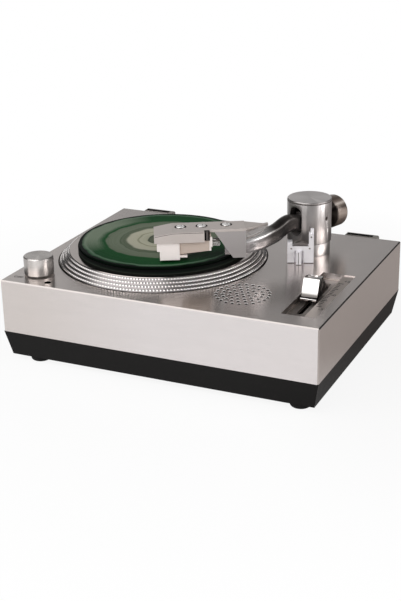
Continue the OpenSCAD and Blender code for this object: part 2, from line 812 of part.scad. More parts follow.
// The base hollowed out, with a lip that reaches up into the cover
module base_shell() {
    inner_x = body_w / 2 - wall - base_taper;
    inner_y = body_d / 2 - wall - base_taper;
    lip_x = body_w / 2 - wall - fit_clear;
    lip_y = body_d / 2 - wall - fit_clear;
    difference() {
        union() {
            base_block();
            block([-lip_x, -lip_y, cover_z - over], [lip_x, lip_y, cover_z + lip_h]);
        }
        block([-inner_x, -inner_y, base_floor_z], [inner_x, inner_y, cover_z]);
        block([-lip_x + lip_t, -lip_y + lip_t, cover_z - lip_h],
            [lip_x - lip_t, lip_y - lip_t, cover_z + lip_h + over]);
    }
}

module base_pan() {
    color(black) difference() {
        union() {
            translate([0, body_y, 0]) base_shell();
            screw_places() rod(0, 0, foot_h + floor_t / 2, screw_post_r, base_h - floor_t / 2);
            board_places() rod(0, 0, foot_h + floor_t / 2, board_post_r, board_lift + floor_t / 2);
        }
        screw_places() {
            rod(0, 0, foot_h - over, screw_r + fit_clear, base_h + 2 * over);
            rod(0, 0, foot_h - over, screw_head_r + fit_clear, screw_head_h + over);
            rod(0, 0, cover_z, screw_post_r + lip_t, lip_h + over);
        }
        board_places() rod(0, 0, base_floor_z, board_screw_r + fit_clear, board_lift + over);
        foot_places() rod(0, 0, foot_h - over, foot_stud_r + fit_clear, floor_t + 2 * over);
    }
}

// A foot is a flat-bottomed dome with a stud through the base's floor
module rubber_feet() {
    arc = [for (a = [-90 : 15 : 0])
        [foot_r - foot_round + foot_round * cos(a), foot_round + foot_round * sin(a)]];
    color(black) foot_places() rotate_extrude()
        polygon(concat([[0, 0]], arc, [[foot_r, foot_h], [foot_stud_r, foot_h],
            [foot_stud_r, foot_h + floor_t], [0, foot_h + floor_t]]));
}

module base_screws() {
    head_z = foot_h + screw_sink;
    color(dark_metal) screw_places() difference() {
        union() {
            rod(0, 0, head_z, screw_head_r, screw_head_h - screw_sink);
            rod(0, 0, head_z, screw_r, base_h + cover_h / 2);
        }
        for (a = [0, 90])
            rotate(a) translate([0, 0, head_z]) head_slot(screw_head_r);
    }
}

// Cutter for the slot in a screw's head of radius r, about the head's face
module head_slot(r) {
    cube([2 * slot_share * r, screw_slot_w, 2 * screw_slot_depth], center = true);
}

// Copies a dust-cover socket to its left and right places on the back wall
module socket_places() {
    for (x = [-body_w / 2 + socket_left_inset, body_w / 2 - socket_right_inset - socket_l])
        translate([x, back_y, deck_z + socket_lift]) children();
}

module hinge_sockets() {
    c = edge_chamfer;
    color(silver) socket_places() difference() {
        translate([0, socket_d, 0]) rotate([90, 0, 0]) linear_extrude(socket_d)
            polygon([[0, -socket_h], [socket_l, -socket_h], [socket_l, -c], [socket_l - c, 0],
                [c, 0], [0, -c]]);
        translate([socket_slot_inset, socket_front, -socket_slot_h])
            cube([socket_slot_l, socket_slot_w, socket_slot_h + over]);
    }
}

module hinge_pads() {
    color(black) socket_places()
        translate([socket_slot_inset + fit_clear, socket_front + fit_clear, -socket_slot_h])
            cube([socket_slot_l - 2 * fit_clear, socket_slot_w - 2 * fit_clear, socket_slot_h - pad_drop]);
}

// The platter is open below, with a skirt, a drum for the belt and a hub
module platter() {
    bore = spindle_r + fit_clear;
    under = ring_z - platter_t;
    skirt_low = deck_z - skirt_drop;
    skirt_in = platter_r - skirt_t;
    color(pale_metal) translate([platter_x, platter_y, 0]) rotate_extrude($fn = 128)
        polygon([[bore, hub_low], [hub_r, hub_low], [hub_r, under], [drum_r - drum_t, under],
            [drum_r - drum_t, drum_low], [drum_r, drum_low], [drum_r, under], [ring_r - skirt_t, under],
            [skirt_in, deck_z - rim_lift], [skirt_in, skirt_low], [platter_r, skirt_low],
            [platter_r, deck_z + rim_lift], [ring_r, ring_z], [bore, ring_z]]);
}

// A flat ring round the spindle
module disc(z, r, hole, t) {
    translate([platter_x, platter_y, z]) difference() {
        cylinder(r = r, h = t, $fn = 128);
        translate([0, 0, -over]) cylinder(r = hole, h = t + 2 * over);
    }
}

module platter_mat() {
    color(black) disc(ring_z, mat_r, spindle_r + 2 * fit_clear, mat_t);
}

module record() {
    color([0.10, 0.27, 0.15]) disc(mat_top, record_r, spindle_r + 2 * fit_clear, record_t);
}

module spindle() {
    low = well_under - bush_l + bush_end + thrust_gap;
    seat = record_top + thrust_gap;
    free_r = spindle_r - spindle_lead;
    top = record_top + spindle_h;
    color(pale_metal) translate([platter_x, platter_y, 0]) rotate_extrude()
        polygon([[0, low], [shaft_r, low], [shaft_r, hub_low], [spindle_r, hub_low], [spindle_r, seat],
            [free_r, seat], [free_r, top - spindle_tip], [free_r - spindle_tip, top], [0, top]]);
}

module spindle_bush() {
    low = well_under - bush_l;
    color(brass) translate([platter_x, platter_y, 0]) rotate_extrude()
        polygon([[0, low], [bush_r, low], [bush_r, well_z], [bush_flange_r, well_z],
            [bush_flange_r, well_z + bush_flange_t], [shaft_r + run_clear, well_z + bush_flange_t],
            [shaft_r + run_clear, low + bush_end], [0, low + bush_end]]);
}

// Belt outline at a distance from the drum and the pulley: two arcs joined by straight runs
function belt_line(away) =
    let (big = drum_r + away, small = pulley_r + away)
    let (lap = acos((big - small) / motor_reach))
    concat(
        [for (i = [0 : 90]) let (a = lap + i * (360 - 2 * lap) / 90) [big * cos(a), big * sin(a)]],
        [for (i = [0 : 16]) let (a = -lap + i * 2 * lap / 16)
            [motor_reach + small * cos(a), small * sin(a)]]);

module drive_belt() {
    color(black) translate([platter_x, platter_y, belt_z]) rotate(motor_dir) difference() {
        linear_extrude(belt_w) polygon(belt_line(belt_clear + belt_t));
        translate([0, 0, -over]) linear_extrude(belt_w + 2 * over) polygon(belt_line(belt_clear));
    }
}

module motor() {
    top = well_under - motor_ring_t;
    color(pale_metal) difference() {
        rod(motor_x, motor_y, top - motor_h, motor_r, motor_h);
        rod(motor_x, motor_y, top - motor_h * shaft_share, motor_shaft_r + run_clear, motor_h);
        translate([motor_x, motor_y, 0]) rotate(motor_dir + 90) for (s = [-1, 1])
            rod(s * motor_screw_reach, 0, top - motor_thread, motor_screw_r + fit_clear, motor_thread + over);
    }
}

module motor_pulley() {
    low = well_under - motor_ring_t - motor_h * shaft_share + thrust_gap;
    foot = drum_low;
    seat = belt_z - belt_clear;
    lift = belt_z + belt_w + belt_clear;
    color(brass) translate([motor_x, motor_y, 0]) rotate_extrude()
        polygon([[0, low], [motor_shaft_r, low], [motor_shaft_r, foot], [flange_r, foot],
            [flange_r, seat], [pulley_r, seat], [pulley_r, lift],
            [flange_r, lift], [flange_r, lift + pulley_flange_t], [0, lift + pulley_flange_t]]);
}

module motor_ring() {
    color(black) difference() {
        rod(motor_x, motor_y, well_under - motor_ring_t, motor_ring_r, motor_ring_t);
        rod(motor_x, motor_y, well_under - motor_ring_t - over, motor_hole_r, motor_ring_t + 2 * over);
        translate([motor_x, motor_y, 0]) rotate(motor_dir + 90) for (s = [-1, 1])
            rod(s * motor_screw_reach, 0, well_under - motor_ring_t - over, motor_screw_r + fit_clear,
                motor_ring_t + 2 * over);
    }
}

module motor_screws() {
    low = well_under - motor_ring_t - motor_thread + thrust_gap;
    color(dark_metal) translate([motor_x, motor_y, 0]) rotate(motor_dir + 90) for (s = [-1, 1]) {
        rod(s * motor_screw_reach, 0, low, motor_screw_r, well_z - low);
        rod(s * motor_screw_reach, 0, well_z, motor_screw_r * head_ratio, floor_gap / 2);
    }
}

module volume_knob() {
    low = deck_z + knob_gap;
    top = low + knob_h;
    color(pale_metal) translate([knob_x, knob_y, 0]) difference() {
        rotate_extrude() polygon([[0, low], [knob_r, low], [knob_r, top - knob_chamfer],
            [knob_r - knob_chamfer, top], [0, top]]);
        rod(0, 0, low - over, knob_shaft_r + fit_clear, knob_h * shaft_share + over);
    }
}

module volume_shaft() {
    low = under_deck - pot_h * shaft_share;
    color(dark_metal) rod(knob_x, knob_y, low, knob_shaft_r, deck_z + knob_gap + knob_h * shaft_share - low);
}

module volume_pot() {
    low = under_deck - pot_h;
    color(dark_metal) difference() {
        union() {
            block([knob_x - pot_side / 2, knob_y - pot_side / 2, low],
                [knob_x + pot_side / 2, knob_y + pot_side / 2, under_deck]);
            rod(knob_x, knob_y, low + pot_h / 2, neck_r, pot_h / 2 + deck_t);
        }
        rod(knob_x, knob_y, under_deck - pot_h * shaft_share - thrust_gap, knob_shaft_r + run_clear,
            pot_h + deck_t);
    }
}

module power_led() {
    color(black) rod(led_x, led_y, under_deck - led_l + deck_t, led_r, led_l);
}

module speaker_basket() {
    low = under_deck - speaker_depth;
    rim_z = under_deck - speaker_rim;
    slope_r = speaker_r - speaker_rim;
    hole = coil_r - speaker_skin;
    color(dark_metal) translate([grille_x, grille_y, 0]) rotate_extrude()
        polygon([[speaker_r, under_deck], [speaker_r, rim_z], [slope_r, rim_z], [magnet_r, low],
            [hole, low], [hole, low + speaker_skin], [magnet_r - speaker_skin, low + speaker_skin],
            [slope_r - speaker_skin, rim_z], [slope_r - speaker_skin, under_deck]]);
}

module speaker_cone() {
    rim = speaker_r - speaker_rim - speaker_skin - speaker_gap;
    top = under_deck - 2 * speaker_gap;
    foot = under_deck - speaker_depth + speaker_skin;
    color(black) translate([grille_x, grille_y, 0]) rotate_extrude()
        polygon([[rim, top], [rim - 2 * cone_t, top], [coil_r, foot + cone_t], [0, foot + cone_t], [0, foot],
            [coil_r + cone_t / 2, foot], [rim, top - cone_t]]);
}

module speaker_magnet() {
    color(dark_metal) rod(grille_x, grille_y, under_deck - speaker_depth - magnet_h, magnet_r, magnet_h);
}

module slider_panel() {
    right = panel_left + panel_w;
    back = panel_front_y + panel_l;
    strip_x = panel_left + channel_w;
    color(silver) difference() {
        union() {
            block([panel_left - panel_flange, panel_front_y - panel_flange, panel_under],
                [right + panel_flange, back + panel_flange, under_deck]);
            block([strip_x, panel_front_y + fit_clear, panel_under + panel_t / 2],
                [right - fit_clear, back - fit_clear, deck_z - scale_drop]);
        }
        block([panel_left, panel_front_y, channel_z], [strip_x, back, deck_z + over]);
        block([slot_x - slot_w / 2, slot_y - slot_l / 2 + slot_w / 2, panel_under - over],
            [slot_x + slot_w / 2, slot_y + slot_l / 2 - slot_w / 2, channel_z + over]);
        for (s = [-1, 1])
            rod(slot_x, slot_y + s * (slot_l - slot_w) / 2, panel_under - over, slot_w / 2,
                panel_t + 2 * over);
    }
}

// Side view of the fader cap's front part, from the stem, along Y and Z
function cap_front_side() = let (crest = -cap_front / 2 + cap_bevel)
    [[-cap_front, cap_z], [-cap_front, cap_z + cap_lip], [-cap_front + cap_run, cap_z + cap_lip + cap_bevel],
    [crest - cap_bevel, cap_top_z - cap_bevel], [crest, cap_top_z], [cap_crest, cap_top_z],
    [cap_crest + cap_bevel / 2, cap_top_z - cap_bevel], [0, deck_z], [0, cap_z]];

// Side view of the cap's sloped back
function cap_back_side() = [[-cap_bevel, cap_z], [-cap_bevel, deck_z],
    [cap_crest - cap_bevel, cap_top_z - cap_bevel], [cap_crest + cap_bevel, cap_top_z - cap_bevel],
    [cap_back, cap_z + cap_bevel], [cap_back, cap_z]];

// Extrudes a side view along X, centred on the slot
module cap_solid(side, w) {
    translate([slot_x - w / 2, slot_y, 0]) rotate([90, 0, 90]) linear_extrude(w) polygon(side);
}

module pitch_cap() {
    color(pale_metal) {
        cap_solid(cap_front_side(), cap_w);
        cap_solid(cap_back_side(), cap_w - 2 * cap_step);
    }
}

module pitch_stem() {
    color(dark_metal) block([slot_x - stem_w / 2, slot_y - stem_l / 2, stem_low],
        [slot_x + stem_w / 2, slot_y + stem_l / 2, cap_z]);
}

module pitch_pot() {
    half_l = slot_l / 2 + slide_end;
    groove = slot_w / 2;
    color(dark_metal) difference() {
        block([slot_x - slide_w / 2, slot_y - half_l, panel_under - slide_h],
            [slot_x + slide_w / 2, slot_y + half_l, panel_under]);
        block([slot_x - groove, slot_y - slot_l / 2, stem_low - thrust_gap],
            [slot_x + groove, slot_y + slot_l / 2, panel_under + over]);
    }
}

module pivot_base() {
    thread_z = under_deck - nut_t - thread_end;
    top = deck_z + post_base_h;
    color(pale_metal) translate([post_x, post_y, 0]) rotate_extrude()
        polygon([[0, thread_z], [thread_r, thread_z], [thread_r, deck_z], [post_base_r, deck_z],
            [post_base_r, top], [stud_r, top], [stud_r, top + stud_h], [0, top + stud_h]]);
}

module pivot_nut() {
    color(dark_metal) difference() {
        translate([post_x, post_y, under_deck - nut_t])
            cylinder(r = thread_r * head_ratio, h = nut_t, $fn = 6);
        rod(post_x, post_y, under_deck - nut_t - over, thread_r + fit_clear, nut_t + 2 * over);
    }
}

// Puts a piece at the post, with X along the arm
module along_arm() {
    translate([post_x, post_y, 0]) rotate(arm_dir) children();
}

// The post: slotted right through for the arm, with a bore for the stud and the cross pin
module turret() {
    slot_h = arm_slot_high - arm_slot_low;
    color(pale_metal) along_arm() difference() {
        rod(0, 0, turret_z, turret_r, turret_cap_z - turret_z);
        rod(0, 0, turret_z - over, stud_r + run_clear, stud_h + over);
        translate([0, 0, deck_z + arm_slot_low + arm_slot_w / 2])
            block([-2 * turret_r, -arm_slot_w / 2, 0],
                [2 * turret_r, arm_slot_w / 2, slot_h - arm_slot_w]);
        for (z = [arm_slot_low + arm_slot_w / 2, arm_slot_high - arm_slot_w / 2])
            translate([-2 * turret_r, 0, deck_z + z]) rotate([0, 90, 0])
                cylinder(r = arm_slot_w / 2, h = 4 * turret_r);
        translate([0, -2 * turret_r, pin_z]) rotate([-90, 0, 0])
            cylinder(r = pin_r + fit_clear, h = 4 * turret_r);
    }
}

module turret_cap() {
    top = deck_z + turret_top;
    color(pale_metal) translate([post_x, post_y, 0]) rotate_extrude()
        polygon([[0, turret_cap_z], [turret_r - turret_chamfer, turret_cap_z],
            [turret_r, turret_cap_z + turret_chamfer], [turret_r, top - turret_chamfer],
            [turret_r - turret_chamfer, top], [0, top]]);
}

module pivot_pin() {
    length = 2 * (turret_r - pin_sink);
    color(dark_metal) along_arm() translate([0, -length / 2, pin_z]) rotate([-90, 0, 0])
        cylinder(r = pin_r, h = length);
}

// Path of the arm: straight from the block, round the bend, and straight into the headshell.
// Each station is [x, y, heading, share of the way].
arm_turn = arm_dir + 180 - head_dir;
bend_cut = bend_r * tan(arm_turn / 2);
arm_run = [bend_reach - bend_cut - block_l, bend_r * arm_turn * PI / 180, arm_tail - bend_cut];
arm_all = arm_run[0] + arm_run[1] + arm_run[2];
bend_mid = [post_x + (bend_reach - bend_cut) * cos(arm_dir) + bend_r * cos(arm_dir - 90),
    post_y + (bend_reach - bend_cut) * sin(arm_dir) + bend_r * sin(arm_dir - 90)];
arm_stations = concat(
    [for (i = [0 : 7]) let (s = i * arm_run[0] / 8)
        [post_x + (block_l + s) * cos(arm_dir), post_y + (block_l + s) * sin(arm_dir), arm_dir, s / arm_all]],
    [for (i = [0 : 16]) let (a = i * arm_turn / 16)
        [bend_mid[0] + bend_r * cos(arm_dir + 90 - a), bend_mid[1] + bend_r * sin(arm_dir + 90 - a),
            arm_dir - a, (arm_run[0] + arm_run[1] * i / 16) / arm_all]],
    [for (i = [1 : 3]) let (s = bend_cut + i * arm_run[2] / 3)
        [bend_x - s * cos(head_dir), bend_y - s * sin(head_dir), arm_dir - arm_turn,
            (arm_all - arm_run[2] * (3 - i) / 3) / arm_all]]);
arm_post_z = deck_z + arm_mid;
arm_head_z = record_top + arm_head_mid;

// Height of the arm's middle: level at the post and in the headshell, sloped between
function arm_z(t) = let (k = min(1, max(0, (t - arm_level) / (1 - 2 * arm_level))))
    arm_post_z + (arm_head_z - arm_post_z) * k * k * (3 - 2 * k);

// Swell of the arm's section: none at its ends, full in the middle
function arm_swell(t) = (1 - cos(360 * pow(t, swell_skew))) / 2;

// Rounded rectangle of the arm's section at a share of the way, counter-clockwise
function arm_section(t) =
    let (w = arm_w + arm_swell_w * arm_swell(t), h = arm_h + arm_swell_h * arm_swell(t))
    [for (c = [[1, 1, 0], [-1, 1, 90], [-1, -1, 180], [1, -1, 270]])
        for (i = [0 : 3]) let (a = c[2] + i * 30)
            [c[0] * (w / 2 - arm_round) + arm_round * cos(a),
                c[1] * (h / 2 - arm_round) + arm_round * sin(a)]];

// Sweeps the arm's section along its stations, with flat ends
module arm_sweep() {
    m = len(arm_stations);
    n = len(arm_section(0));
    points = [for (p = arm_stations) for (q = arm_section(p[3]))
        [p[0] + q[0] * cos(p[2] - 90), p[1] + q[0] * sin(p[2] - 90), arm_z(p[3]) + q[1]]];
    faces = concat(
        [for (i = [0 : m - 2]) for (j = [0 : n - 1])
            [i * n + j, (i + 1) * n + j, (i + 1) * n + (j + 1) % n]],
        [for (i = [0 : m - 2]) for (j = [0 : n - 1])
            [i * n + j, (i + 1) * n + (j + 1) % n, i * n + (j + 1) % n]],
        [[for (j = [0 : n - 1]) j]],
        [[for (j = [n - 1 : -1 : 0]) (m - 1) * n + j]]);
    polyhedron(points, faces);
}

module tonearm() {
    color(pale_metal) arm_sweep();
}

// Block on the cross pin, which carries the arm in front and the rod behind
module pivot_block() {
    color(dark_metal) along_arm() difference() {
        union() {
            block([-block_l, -block_w / 2, pin_z - block_top], [block_l, block_w / 2, pin_z + block_top]);
            block([-block_l, -arm_w / 2, arm_post_z - arm_h / 2], [block_l, arm_w / 2, pin_z]);
        }
        translate([0, -block_w, pin_z]) rotate([-90, 0, 0]) cylinder(r = pin_r + run_clear, h = 2 * block_w);
    }
}

module counterweight_stem() {
    color(dark_metal) along_arm() translate([-block_l, 0, arm_post_z]) rotate([0, -90, 0])
        cylinder(r = rod_r, h = weight_near + weight_t - block_l - weight_chamfer);
}

module counterweight() {
    c = weight_chamfer;
    color(dark_metal) along_arm() translate([-weight_near, 0, arm_post_z]) rotate([0, -90, 0])
        rotate_extrude()
            polygon([[rod_r + fit_clear, 0], [weight_r - c, 0], [weight_r, c], [weight_r, weight_t - c],
                [weight_r - c, weight_t], [rod_r + fit_clear, weight_t]]);
}

// Puts a piece at the bend, with X from the nose towards the bend and the front on -Y
module at_head() {
    translate([bend_x, bend_y, 0]) rotate(head_dir) children();
}

// Extrudes an outline in the X-Z plane between two depths
module upright(outline, y_low, y_high) {
    translate([0, y_high, 0]) rotate([90, 0, 0]) linear_extrude(y_high - y_low) polygon(outline);
}

// Share of the arm's way at the web's tip and at the middle of the bend
web_share = (bend_reach - web_reach - block_l) / arm_all;
bend_share = (arm_run[0] + arm_run[1] / 2) / arm_all;

// Half width and top of the arm at a share of its way
function arm_half(t) = (arm_w + arm_swell_w * arm_swell(t)) / 2;
function arm_top(t) = arm_z(t) + (arm_h + arm_swell_h * arm_swell(t)) / 2;

// A flat plate of thickness t under the triangle a, b, c, which is counter-clockwise from above
module flat_plate(a, b, c, t) {
    u = (b - a) / norm(b - a);
    n = cross(b - a, c - a) / norm(cross(b - a, c - a));
    v = cross(n, u);
    multmatrix([[u[0], v[0], n[0], a[0]], [u[1], v[1], n[1], a[1]], [u[2], v[2], n[2], a[2]]])
        translate([0, 0, -t]) linear_extrude(t)
            polygon([[0, 0], [norm(b - a), 0], [(c - a) * u, (c - a) * v]]);
}

// Web that slopes from the shell's end down to the arm's far side, in the headshell's directions.
// It starts a little inside the shell's plate and is folded along a line to its tip.
module shell_web() {
    x = -shell_end - shell_wall / 2;
    z = shell_top_z - web_gap;
    side = arm_half(web_share) + web_gap;
    inner = bend_r - arm_half(bend_share) - web_gap;
    front = [x, -plate_front + web_gap, z];
    back = [x, shell_back - web_gap, z];
    tip = [web_reach * cos(arm_turn) - side * sin(arm_turn),
        web_reach * sin(arm_turn) + side * cos(arm_turn), arm_top(web_share)];
    crease = [-bend_cut + inner * sin(arm_turn / 2), bend_r - inner * cos(arm_turn / 2),
        arm_top(bend_share) + web_gap + web_t];
    flat_plate(front, tip, back, web_t);
    flat_plate(front, crease, tip, web_t);
}

// The shell: plate with a drooped nose, front wall, back wall and the web
module headshell() {
    nose_top = shell_top_z - nose_droop;
    bent_x = -nose_reach + nose_l;
    roof = [[-nose_reach, nose_top - shell_t], [-nose_reach, nose_top], [bent_x, shell_top_z],
        [-shell_end, shell_top_z], [-shell_end, shell_under_z], [bent_x, shell_under_z]];
    side = [[-nose_reach, wall_low_z], [-nose_reach, nose_top], [bent_x, shell_top_z],
        [-front_end, shell_top_z], [-front_end, wall_low_z]];
    color(pale_metal) at_head() difference() {
        union() {
            difference() {
                upright(roof, -shell_front, shell_back);
                block([-front_end, -shell_front - over, shell_under_z - over],
                    [0, -plate_front, shell_top_z + over]);
            }
            upright(side, -shell_front, -shell_front + shell_wall);
            upright(side, shell_back - shell_wall, shell_back);
            shell_web();
        }
        for (p = shell_screws)
            translate([-p[0], p[1], 0]) {
                rod(0, 0, shell_top_z - shell_screw_seat, shell_screw_r + fit_clear, shell_t + over);
                rod(0, 0, shell_under_z - over, shell_shank_r + fit_clear, shell_t + over);
            }
    }
}

module headshell_screws() {
    head = shell_screw_seat + shell_screw_proud;
    end = shell_screw_seat - shell_t - cart_gap + shell_screw_proud;
    color(pale_metal) at_head() for (p = shell_screws)
        translate([-p[0], p[1], shell_top_z - shell_screw_seat]) difference() {
            union() {
                cylinder(r = shell_screw_r, h = head);
                rod(0, 0, end, shell_shank_r, -end + head / 2);
            }
            translate([0, 0, head]) head_slot(shell_screw_r);
        }
}

// Trapezoid side plate, with a lug over the arm's straight end that carries it
module shell_bracket() {
    low = record_top + plate_low;
    top = shell_under_z - fit_clear;
    trapezoid = [[-plate_top_end, top], [-plate_low_end, low], [-shell_end, low], [-shell_end, top]];
    straight = (arm_run[0] + arm_run[1]) / arm_all;
    lug_x = -shell_screws[2][0] + shell_shank_r + lug_gap;
    color(silver) at_head() {
        upright(trapezoid, -plate_front, -plate_front + plate_t);
        block([lug_x, -plate_front + plate_t / 2, arm_top(straight) + fit_clear],
            [-bend_cut, arm_w / 2, top]);
    }
}

module cartridge() {
    outline = [[-cart_front, cart_z], [-cart_front + cart_l, cart_z + cart_rise],
        [-cart_front + cart_l, shell_under_z - cart_gap], [-cart_front, shell_under_z - cart_gap]];
    color([0.76, 0.69, 0.62]) at_head() upright(outline, -cart_half, cart_half);
}

module stylus_holder() {
    top = wall_low_z - fit_clear;
    back_x = -cart_front - fit_clear;
    front_x = back_x - holder_l;
    lip_z = holder_z + holder_lip_h;
    outline = [[front_x, holder_z + holder_step_h], [front_x + holder_step, holder_z + holder_step_h],
        [front_x + holder_step, holder_z], [back_x, holder_z], [back_x, lip_z - holder_lip_t],
        [back_x + holder_lip, lip_z - holder_lip_t], [back_x + holder_lip, lip_z], [back_x, lip_z],
        [back_x, top], [front_x, top]];
    color([0.93, 0.91, 0.89]) at_head() upright(outline, -holder_half, holder_half);
}

// Cantilever from the holder's foot, sloped down to a small cone over the record
module stylus() {
    tip_z = record_top + stylus_gap;
    end_z = tip_z + stylus_h - cantilever_r / 2;
    root_z = holder_z + cantilever_r + fit_clear;
    lean = atan((root_z - end_z) / stylus_reach);
    color([0.93, 0.91, 0.89]) at_head() translate([-cart_front + fit_clear, 0, 0]) {
        translate([0, 0, root_z]) rotate([0, 90 + lean, 0]) cylinder(r = cantilever_r, h = stylus_reach);
        translate([stylus_reach - cantilever_r, 0, tip_z])
            cylinder(r1 = stylus_r, r2 = cantilever_r, h = stylus_h);
    }
}

// Terminal pins of the cartridge, each with its end sleeve
module cartridge_leads() {
    color(brass) at_head() for (i = [-1.5 : 1 : 1.5])
        translate([-cart_front + cart_l, i * terminal_pitch, cart_z + cart_rise + terminal_h])
            rotate([0, 90, 0]) {
                cylinder(r = terminal_r, h = terminal_l);
                translate([0, 0, terminal_l - sleeve_l]) cylinder(r = terminal_r + sleeve_t, h = sleeve_l);
            }
}

// Puts a piece at the rest, with X along its width
module at_rest() {
    translate([rest_x, rest_y, deck_z]) rotate(rest_turn) children();
}

module arm_rest() {
    half = rest_w / 2;
    front = -rest_depth / 2;
    bump_w = half - prong_w - bump_gap;
    bump_r = (bump_w * bump_w + rest_bump * rest_bump) / (2 * rest_bump);
    color(pale_metal) at_rest() difference() {
        union() {
            block([-half, front, 0], [half, -front, rest_bar]);
            block([-half, front, 0], [-half + prong_w, -front, prong_low]);
            block([half - prong_w, front, 0], [half, -front, prong_high]);
            rod(half - prong_knob_r, 0, rest_bar, prong_knob_r, prong_high - rest_bar + prong_knob_h);
            intersection() {
                block([-bump_w, front + bump_inset, rest_bar - over], [bump_w, -front, rest_bar + rest_bump]);
                translate([0, 0, rest_bar + rest_bump - bump_r]) rotate([90, 0, 0])
                    cylinder(r = bump_r, h = 2 * rest_depth, center = true, $fn = 96);
            }
            block([-rib_w / 2 - rib_shift, front - rib_out, 0], [rib_w / 2 - rib_shift, 0, groove_h]);
            rod(0, 0, -deck_t, peg_r, deck_t + over);
        }
        for (s = [-1, 1])
            translate([s * (rib_w + groove_w) / 2 - rib_shift, front, 0])
                block([-groove_w / 2, -groove_depth, -over], [groove_w / 2, groove_depth, groove_h]);
    }
}

// Body of a rear socket: a block inside the wall with a round neck through it
module rear_body(x, r, depth) {
    neck = r + rear_socket_wall;
    half = neck + rear_rim;
    inside = back_y - wall;
    block([x - half, inside - depth, rear_z - half], [x + half, inside, rear_z + half]);
    translate([x, back_y, rear_z]) rotate([90, 0, 0]) cylinder(r = neck, h = wall + over);
}

module audio_socket() {
    color(black) difference() {
        rear_body(audio_x, audio_r, audio_depth);
        translate([audio_x, back_y + over, rear_z]) rotate([90, 0, 0])
            cylinder(r = audio_r, h = audio_depth + over);
    }
}

module power_socket() {
    color(black) {
        difference() {
            rear_body(power_x, power_r, power_depth);
            translate([power_x, back_y + over, rear_z]) rotate([90, 0, 0])
                cylinder(r = power_r, h = power_depth + over);
        }
        translate([power_x, back_y - power_recess, rear_z]) rotate([90, 0, 0])
            cylinder(r = power_pin_r, h = power_depth - power_recess + over);
    }
}

module circuit_board() {
    color([0.12, 0.35, 0.20]) difference() {
        block([board_x - board_w / 2, board_mid_y - board_d / 2, board_z],
            [board_x + board_w / 2, board_mid_y + board_d / 2, board_z + board_t]);
        board_places() rod(0, 0, board_z - over, board_screw_r + fit_clear, board_t + 2 * over);
    }
}

// Parts on the board: two capacitors, an amplifier chip and a plug for the leads
module board_parts() {
    color(black) translate([board_x, board_mid_y, board_z + board_t]) {
        for (x = [-board_w / 4, -board_w / 4 + 3 * can_r])
            rod(x, board_d / 4, 0, can_r, can_h);
        block([-chip_side / 2, -chip_side / 2, 0], [chip_side / 2, chip_side / 2, chip_h]);
        block([board_w / 4, -plug_l / 2, 0], [board_w / 4 + plug_w, plug_l / 2, plug_w]);
    }
}

module board_screws() {
    top = board_z + board_t;
    low = base_floor_z + thrust_gap;
    color(dark_metal) board_places() {
        rod(0, 0, low, board_screw_r, top - low);
        rod(0, 0, top, board_screw_r * head_ratio, board_head_h);
    }
}

top_cover();
base_pan();
rubber_feet();
base_screws();
hinge_sockets();
hinge_pads();
platter();
platter_mat();
record();
spindle();
spindle_bush();
drive_belt();
motor();
motor_pulley();
motor_ring();
motor_screws();
volume_knob();
volume_shaft();
volume_pot();
power_led();
speaker_basket();
speaker_cone();
speaker_magnet();
slider_panel();
pitch_cap();
pitch_stem();
pitch_pot();
pivot_base();
pivot_nut();
turret();
turret_cap();
pivot_pin();
tonearm();
pivot_block();
counterweight_stem();
counterweight();
headshell();
headshell_screws();
shell_bracket();
cartridge();
stylus_holder();
stylus();
cartridge_leads();
arm_rest();
audio_socket();
power_socket();
circuit_board();
board_parts();
board_screws();
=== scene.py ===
import math

import bpy
from mathutils import Matrix, Vector


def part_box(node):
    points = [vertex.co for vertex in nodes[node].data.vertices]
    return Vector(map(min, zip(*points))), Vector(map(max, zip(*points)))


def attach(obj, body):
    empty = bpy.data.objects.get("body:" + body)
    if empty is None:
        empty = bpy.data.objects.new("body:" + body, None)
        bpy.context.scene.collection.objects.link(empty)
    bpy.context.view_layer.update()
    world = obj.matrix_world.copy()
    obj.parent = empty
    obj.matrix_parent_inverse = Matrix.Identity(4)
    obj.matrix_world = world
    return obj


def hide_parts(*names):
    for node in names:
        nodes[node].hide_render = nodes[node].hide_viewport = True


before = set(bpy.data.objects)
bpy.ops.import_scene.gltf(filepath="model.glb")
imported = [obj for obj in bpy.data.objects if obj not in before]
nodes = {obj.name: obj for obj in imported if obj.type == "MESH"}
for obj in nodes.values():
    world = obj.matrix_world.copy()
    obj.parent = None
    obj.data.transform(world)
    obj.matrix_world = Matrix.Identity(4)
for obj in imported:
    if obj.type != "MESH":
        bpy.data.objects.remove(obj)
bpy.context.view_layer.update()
scene = bpy.context.scene
scene.view_settings.view_transform = "Standard"
mm = 0.001
print("frame loaded:", len(nodes), "nodes")

# Places taken from the frame, in metres


def middle(node):
    low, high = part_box(node)
    return (low + high) / 2


deckLow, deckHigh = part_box("top_cover")
deckMid = Vector(((deckLow.x + deckHigh.x) / 2, (deckLow.y + deckHigh.y) / 2, deckHigh.z))
platterMid = middle("platter")
panelMid = middle("slider_panel")
speakerMid = middle("speaker_basket")
postMid = middle("turret_cap")
knobMid = middle("volume_knob")
weightMid = middle("counterweight")
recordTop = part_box("record")[1].z

# Small helpers for node materials

noiseSpan = (0.3, 0.7)  # most values of a noise lie in here
bumpDepth = 0.05 * mm
thinBlur = 0.1 * mm  # width of a step between two tones
squareOn = (0.8, 0.95)  # how straight a face looks along an axis
pureWhite = (1, 1, 1, 1)


def tone(red, green, blue):
    channels = []
    for value in (red, green, blue):
        share = value / 255
        low = share <= 0.04045  # the straight foot of the screen's curve
        channels.append(share / 12.92 if low else ((share + 0.055) / 1.055) ** 2.4)
    return (*channels, 1.0)


def grey(level):
    return (level, level, level, 1)


def toneStops(rows):
    return [(place, tone(*levels)) for place, levels in rows]


